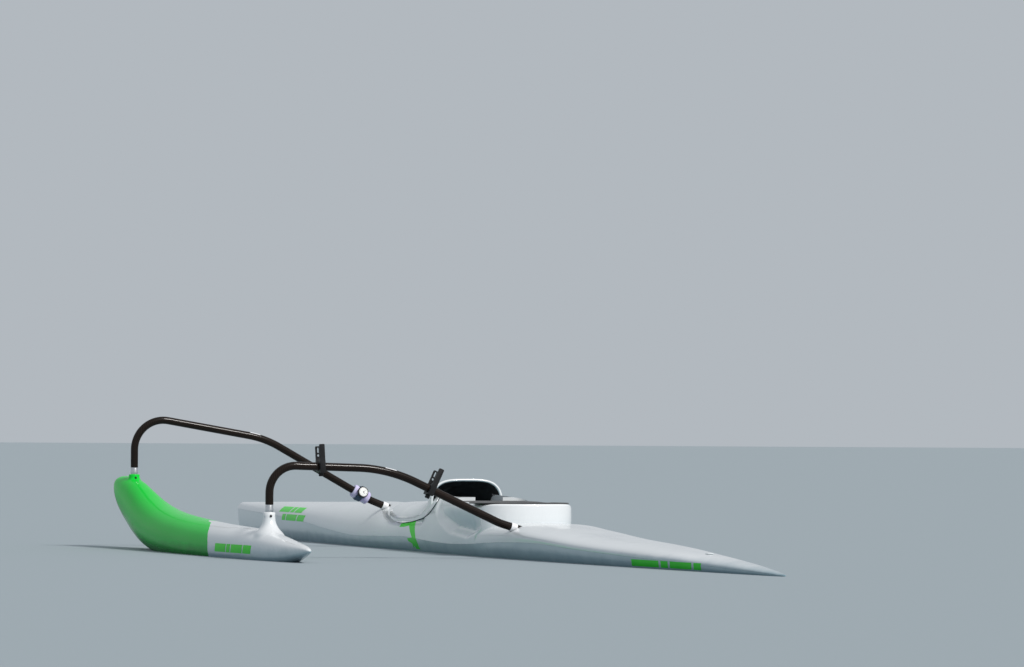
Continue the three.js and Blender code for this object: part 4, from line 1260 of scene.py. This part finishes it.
def make_rudder():
    blade_top = rudder_form.keel - RUDDER.top_clearance
    rows, points = 26, 22
    rings = []
    for down in (r / rows for r in range(rows + 1)):
        into_tip = max(0, (down - RUDDER_TIP.rounded_from) / (1 - RUDDER_TIP.rounded_from))
        tip = math.sqrt(max(1 - into_tip ** 2, 0.02))
        chord = RUDDER.chord * (1 - (1 - RUDDER_TIP.chord) * down ** 1.5) * (0.75 + 0.25 * tip)
        nose = RUDDER_X + RUDDER.ahead - RUDDER.sweep * down - (1 - tip) * 10
        thick = RUDDER.thickness * (1 - (1 - RUDDER_TIP.thickness) * down) * tip
        z = blade_top - RUDDER.depth * down
        port = [(nose, 0, z)]
        for i in range(1, points):
            share = (i / points) ** 1.6
            port.append((nose - chord * share, max(thick * foil(share), 0.35), z))
        starboard = [(x, -y, z) for x, y, z in port[:0:-1]]
        rings.append([*port, (nose - chord, 0, z), *starboard])
    rudder = make_object("rudder_blade", loft(rings))
    post_top = rudder_form.crown - POST.below_deck
    join(rudder, rod(POST.radius, blade_top - POST.sunk_in_blade, post_top, place=(RUDDER_X, 0, 0)))
    finish_piece(rudder, WHITE, "rudder", body="rudder")

    low, high = rudder_form.keel + BEARING.above_keel, post_top - BEARING.below_post_top
    bearing = pipe(BEARING.inner, BEARING.outer, low, high, 40, (RUDDER_X, 0, 0))
    piece("bearing", bearing, GREY, "rudder_bearing")

    base, inside = rudder_form.crown + CAP.lift, post_top + CAP.over_post
    top = base + CAP.thickness
    cap = turned([
        (0, inside), (CAP.stem, inside), (CAP.stem, base - 1.2), (CAP.radius, base - 1.2),
        (CAP.radius, base + 0.5), (CAP.radius - 1, top), (5, top), (4.4, top - 0.7), (0, top - 0.7),
    ], 48, (RUDDER_X, 0, 0))
    piece("deck_cap", cap, WHITE, "rudder_cap")


# Pedals
def make_pedals():
    axle_half = FOOTWELL.half - 4 * GAP
    axle_at = Vector((PEDAL.x, 0, PEDAL.z))
    axle = rod(PEDAL_AXLE_RADIUS, -axle_half, axle_half, 32, axle_at, PORT, soft=0.8)
    piece("axle", axle, ALUMINIUM, "pedal_axle")
    bore = rod(PEDAL_AXLE_RADIUS + GAP, -300, 300, 32, axle_at, PORT)
    for side, name in SIDES:
        half, tall, corner = PEDAL.width / 2, PEDAL.height, PEDAL.corner
        outline = [(-half, 0), (half, 0)]
        outline += arc(half - corner, tall - corner, corner, 0, 90, 8)
        outline += arc(corner - half, tall - corner, corner, 90, 180, 8)
        at = Vector((PEDAL.x, side * (PEDAL.from_centre + half), PEDAL.z))
        thick = PEDAL.thickness / 2
        axes = (FORE, PORT, UP)
        pedal = make_object("foot_pedal_" + name, plate(outline, axes, at, -thick + 1, thick))
        join(pedal, rod(PEDAL.hub, -half, half, 36, at, PORT))
        for z in range(TREADS.first, TREADS.last + 1, TREADS.step):
            join(pedal, plate(box(half - TREADS.inset, z, z + TREADS.height), axes, at, -thick, 0))
        soften(pedal, 0.7, segments=2)
        finish_piece(cut(pedal, bore), BLACK, "pedal_" + name, body="pedal_" + name)

        outer = side * (FOOTWELL.half - GAP - BRACKET.thickness / 2)
        long, half = BRACKET.length / 2, BRACKET.thickness / 2
        outline = [(-long, 0), (long, 0), (long, 8)]
        outline += arc(0, BRACKET.height - BRACKET.radius, BRACKET.radius, 0, 180, 16) + [(-long, 8)]
        at = Vector((PEDAL.x, outer, FOOTWELL.floor + GAP))
        bracket = make_object("bracket_" + name, plate(outline, (PORT, FORE, UP), at, -half, half))
        soften(bracket, 0.8, segments=2)
        finish_piece(cut(bracket, bore), BLACK, "pedal_bracket_" + name)
        bolts = [
            rod(2.6, half - 1, half + 1.6, 6, (x, outer, FOOTWELL.floor + 5.5), PORT * -side, soft=0.3)
            for x in (PEDAL.x - 17, PEDAL.x + 17)
        ]
        piece("bracket_bolts_" + name, merged(*bolts), ALUMINIUM)


# Seat pad: where it is pressed in on each side and its channel, in metres
PAD_VOXEL = 0.005
PAD_PUFF = 0.006
PAD_CROWN = 0.02  # the height over which the top starts to give
PUFF_FRAMES = 20
PRESSED = Sizes(x=-0.56, y=0.066, long=0.1, wide=0.052, depth=0.007)
CHANNEL = Sizes(fore=-0.33, aft=-0.7, run_out=0.03, wide=0.006, depth=0.004)
PAD_EDGE = Sizes(sunk=1, proud=3.2, inset=10)
PAD_EDGE_AHEAD = [(-640, -300), (-560, -142), (-560, 142), (-640, 300), (0, 300), (0, -300)]


def make_pad():
    """The foam seat pad: crowned, pressed in where the sitter's weight comes, with a cut channel."""
    low = SEAT.floor + GAP
    pad = make_object("pad", well_block(SEAT, -PAD_INSET, low + 2, SEAT.floor + PAD_THICKNESS - 4))
    modify(pad, "REMESH", mode="VOXEL", voxel_size=PAD_VOXEL)
    settle(pad)
    swell(pad, cap=PAD_PUFF)
    modify(pad, "SUBSURF", levels=1)
    settle(pad)
    floor = low * MM
    for vertex in pad.data.vertices:
        x, y, z = vertex.co
        top = max(0, min(1, (z - floor) / PAD_CROWN))
        for side in (-1, 1):
            away = ((x - PRESSED.x) / PRESSED.long) ** 2 + ((y - side * PRESSED.y) / PRESSED.wide) ** 2
            z -= PRESSED.depth * math.exp(-away) * top
        inside = min(CHANNEL.fore - x, x - CHANNEL.aft) / CHANNEL.run_out
        z -= CHANNEL.depth * math.exp(-(y / CHANNEL.wide) ** 2) * max(0, min(1, inside)) * top
        vertex.co.z = max(z, floor)
    finish_piece(pad, PAD_FOAM, "seat_pad", sharp=180)


def make_pad_edge():
    """The thin turned-out edge of the pad, laid on the rim round the back of the seat."""
    low, high = RIM_HEIGHT - PAD_EDGE.sunk, RIM_HEIGHT + PAD_EDGE.proud
    edge = make_object("pad_edge", well_block(SEAT_BOX, -PAD_EDGE.inset, low, high))
    cut(edge, well_block(SEAT, -3, 0, COCKPIT_TOP), prism(PAD_EDGE_AHEAD, 0, 400))
    finish_piece(soften(edge, 1), PAD_FOAM)


def swell(obj, cap):
    """Puffs a pad up with a short cloth simulation, no point moving further than cap."""
    before = np.array([tuple(v.co) for v in obj.data.vertices])
    cloth = modify(obj, "CLOTH")
    cloth.settings.use_pressure = True
    cloth.settings.uniform_pressure_force = 4
    cloth.settings.effector_weights.gravity = 0
    cloth.settings.quality = 5
    cloth.point_cache.frame_start = 1
    cloth.point_cache.frame_end = PUFF_FRAMES
    for number in range(1, PUFF_FRAMES + 1):
        bpy.context.scene.frame_set(number)
    settle(obj)
    bpy.context.scene.frame_set(1)
    move = np.array([tuple(v.co) for v in obj.data.vertices]) - before
    far = np.linalg.norm(move, axis=1, keepdims=True)
    after = before + move * np.minimum(1, cap / np.maximum(far, 1e-9))
    obj.data.vertices.foreach_set("co", after.ravel())


# Stripes and bars in place of lettering
DECAL_PROUD, DECAL_SUNK = 0.45, 1.5
STRIPE = [
    (300, 98), (240, 104), (192, 110), (138, 119), (63, 46), (46, 8), (94, 8), (106, 22), (122, 8),
    (126, 28), (170, 36), (176, 46), (112, 50), (184, 94), (240, 88), (300, 86),
]
# Rows of bars: name, first x, last x, low z, high z, shares of the row's length, gap, slant
BAR_ROWS = [
    ("bow_bar", 2160, 1760, 114, 136, (3, 1, 2), 16, 20),
    ("bow_bar", 2095, 1690, 80, 106, (1, 3, 2), 16, 24),
    ("float_bar", -628, -1000, 20, 49, (3, 1, 3, 2), 10, 8),
    ("stern_bar", -2040, -2545, 5, 27, (4, 1, 3, 1), 16, 10),
]


def side_decal(name, outline, surface=hull_side, step=12.0, centre=lambda x: 0):
    """A thin green decal on each side, from an outline of (x, z) points.

    surface: how far out the side is there. centre: the line in plan that the two sides mirror about.
    """
    mesh = bmesh.new()
    mesh.faces.new([mesh.verts.new((x, z, 0)) for x, z in outline])
    for axis, spacing in ((0, step), (1, 3.0)):
        values = [point[axis] for point in outline]
        for value in np.arange(min(values) + spacing, max(values), spacing):
            across = (FORE, PORT)[axis]
            geometry = mesh.verts[:] + mesh.edges[:] + mesh.faces[:]
            bmesh.ops.bisect_plane(mesh, geom=geometry, plane_co=across * value, plane_no=across)
    mesh.verts.index_update()
    flat = [(v.co.x, v.co.y) for v in mesh.verts]
    faces = [tuple(v.index for v in face.verts) for face in mesh.faces]
    rim = [[v.index for v in edge.verts] for edge in mesh.edges if len(edge.link_faces) == 1]
    mesh.free()
    count = len(flat)
    skin = faces + [tuple(count + i for i in face[::-1]) for face in faces]
    skin += [(a, b, count + b, count + a) for a, b in rim]
    for side, word in SIDES:
        obj = make_object(f"{name}_{word}", ([
            (x, centre(x) + side * (surface(x, z) + proud), z)
            for proud in (DECAL_PROUD, -DECAL_SUNK) for x, z in flat
        ], skin))
        face_out(obj)
        finish_piece(obj, DECAL_GREEN)


def face_out(obj):
    mesh = bmesh.new()
    mesh.from_mesh(obj.data)
    bmesh.ops.recalc_face_normals(mesh, faces=mesh.faces)
    mesh.to_mesh(obj.data)
    mesh.free()


def make_decals():
    side_decal("stripe", STRIPE, step=8)
    made = {}
    for name, x, end, low, high, shares, gap, slant in BAR_ROWS:
        room = x - end - gap * (len(shares) - 1)
        on = {"surface": ama_side, "centre": float_y} if name == "float_bar" else {}
        for share in shares:
            made[name] = made.get(name, 0) + 1
            aft = x - room * share / sum(shares)
            bar = [(x, low), (aft, low), (aft - slant, high), (x - slant, high)]
            side_decal(f"{name}_{made[name]}", bar, **on)
            x = aft - gap


# Floor, backdrop and light
FLOOR_REACH = 1500.0
FLOOR_INSET = 5
LIGHT_FROM = Vector((-0.62, -0.35, 0.70))


def waterline(count=90):
    """The hull's waterline from above, port side from stern to bow and back along starboard."""
    port = []
    for x in np.linspace(-HULL_HALF_LENGTH + 20, HULL_HALF_LENGTH - 60, count):
        form = hull_form(x)
        if form.keel < -2:
            port.append((x, max(side_at(form, 0.0) - FLOOR_INSET, 1)))
    return port + [(x, -y) for x, y in port[::-1]]


def make_stage():
    hole = [(x * MM, y * MM, 0) for x, y in waterline()]
    angles = [math.atan2(y, x) for x, y, _ in hole]
    around = [(FLOOR_REACH * math.cos(a), FLOOR_REACH * math.sin(a), 0) for a in angles]
    count = len(hole)
    faces = [(i, (i + 1) % count, count + (i + 1) % count, count + i) for i in range(count)]
    mesh = bpy.data.meshes.new("floor")
    mesh.from_pydata(hole + around, [], faces)
    mesh.materials.append(Recipe("floor", (0.3, 0.35, 0.38), 0.9).material)
    link_object("floor", mesh)

    world = bpy.data.worlds.new("studio")
    world.use_nodes = True
    background = world.node_tree.nodes["Background"]
    background.inputs["Color"].default_value = (0.72, 0.78, 0.84, 1)
    background.inputs["Strength"].default_value = 0.62

    sun = bpy.data.lights.new("key", "SUN")
    sun.energy = 2.75
    sun.angle = math.radians(14)
    sun.color = (1.0, 0.97, 0.93)
    link_object("key", sun).rotation_euler = LIGHT_FROM.to_track_quat("Z", "Y").to_euler()
    scene = bpy.context.scene
    scene.world = world
    scene.view_settings.view_transform = "Standard"
    scene.view_settings.exposure = 0.0


whole_hull = make_hull()
make_tub(whole_hull)
make_cowl(whole_hull)
socket_shade_seals(whole_hull)
drop(whole_hull)
make_cowl_seam()
make_ama()
make_iakos()
make_rests()
make_instrument()
make_rudder()
make_pedals()
make_pad()
make_pad_edge()
make_decals()
make_stage()
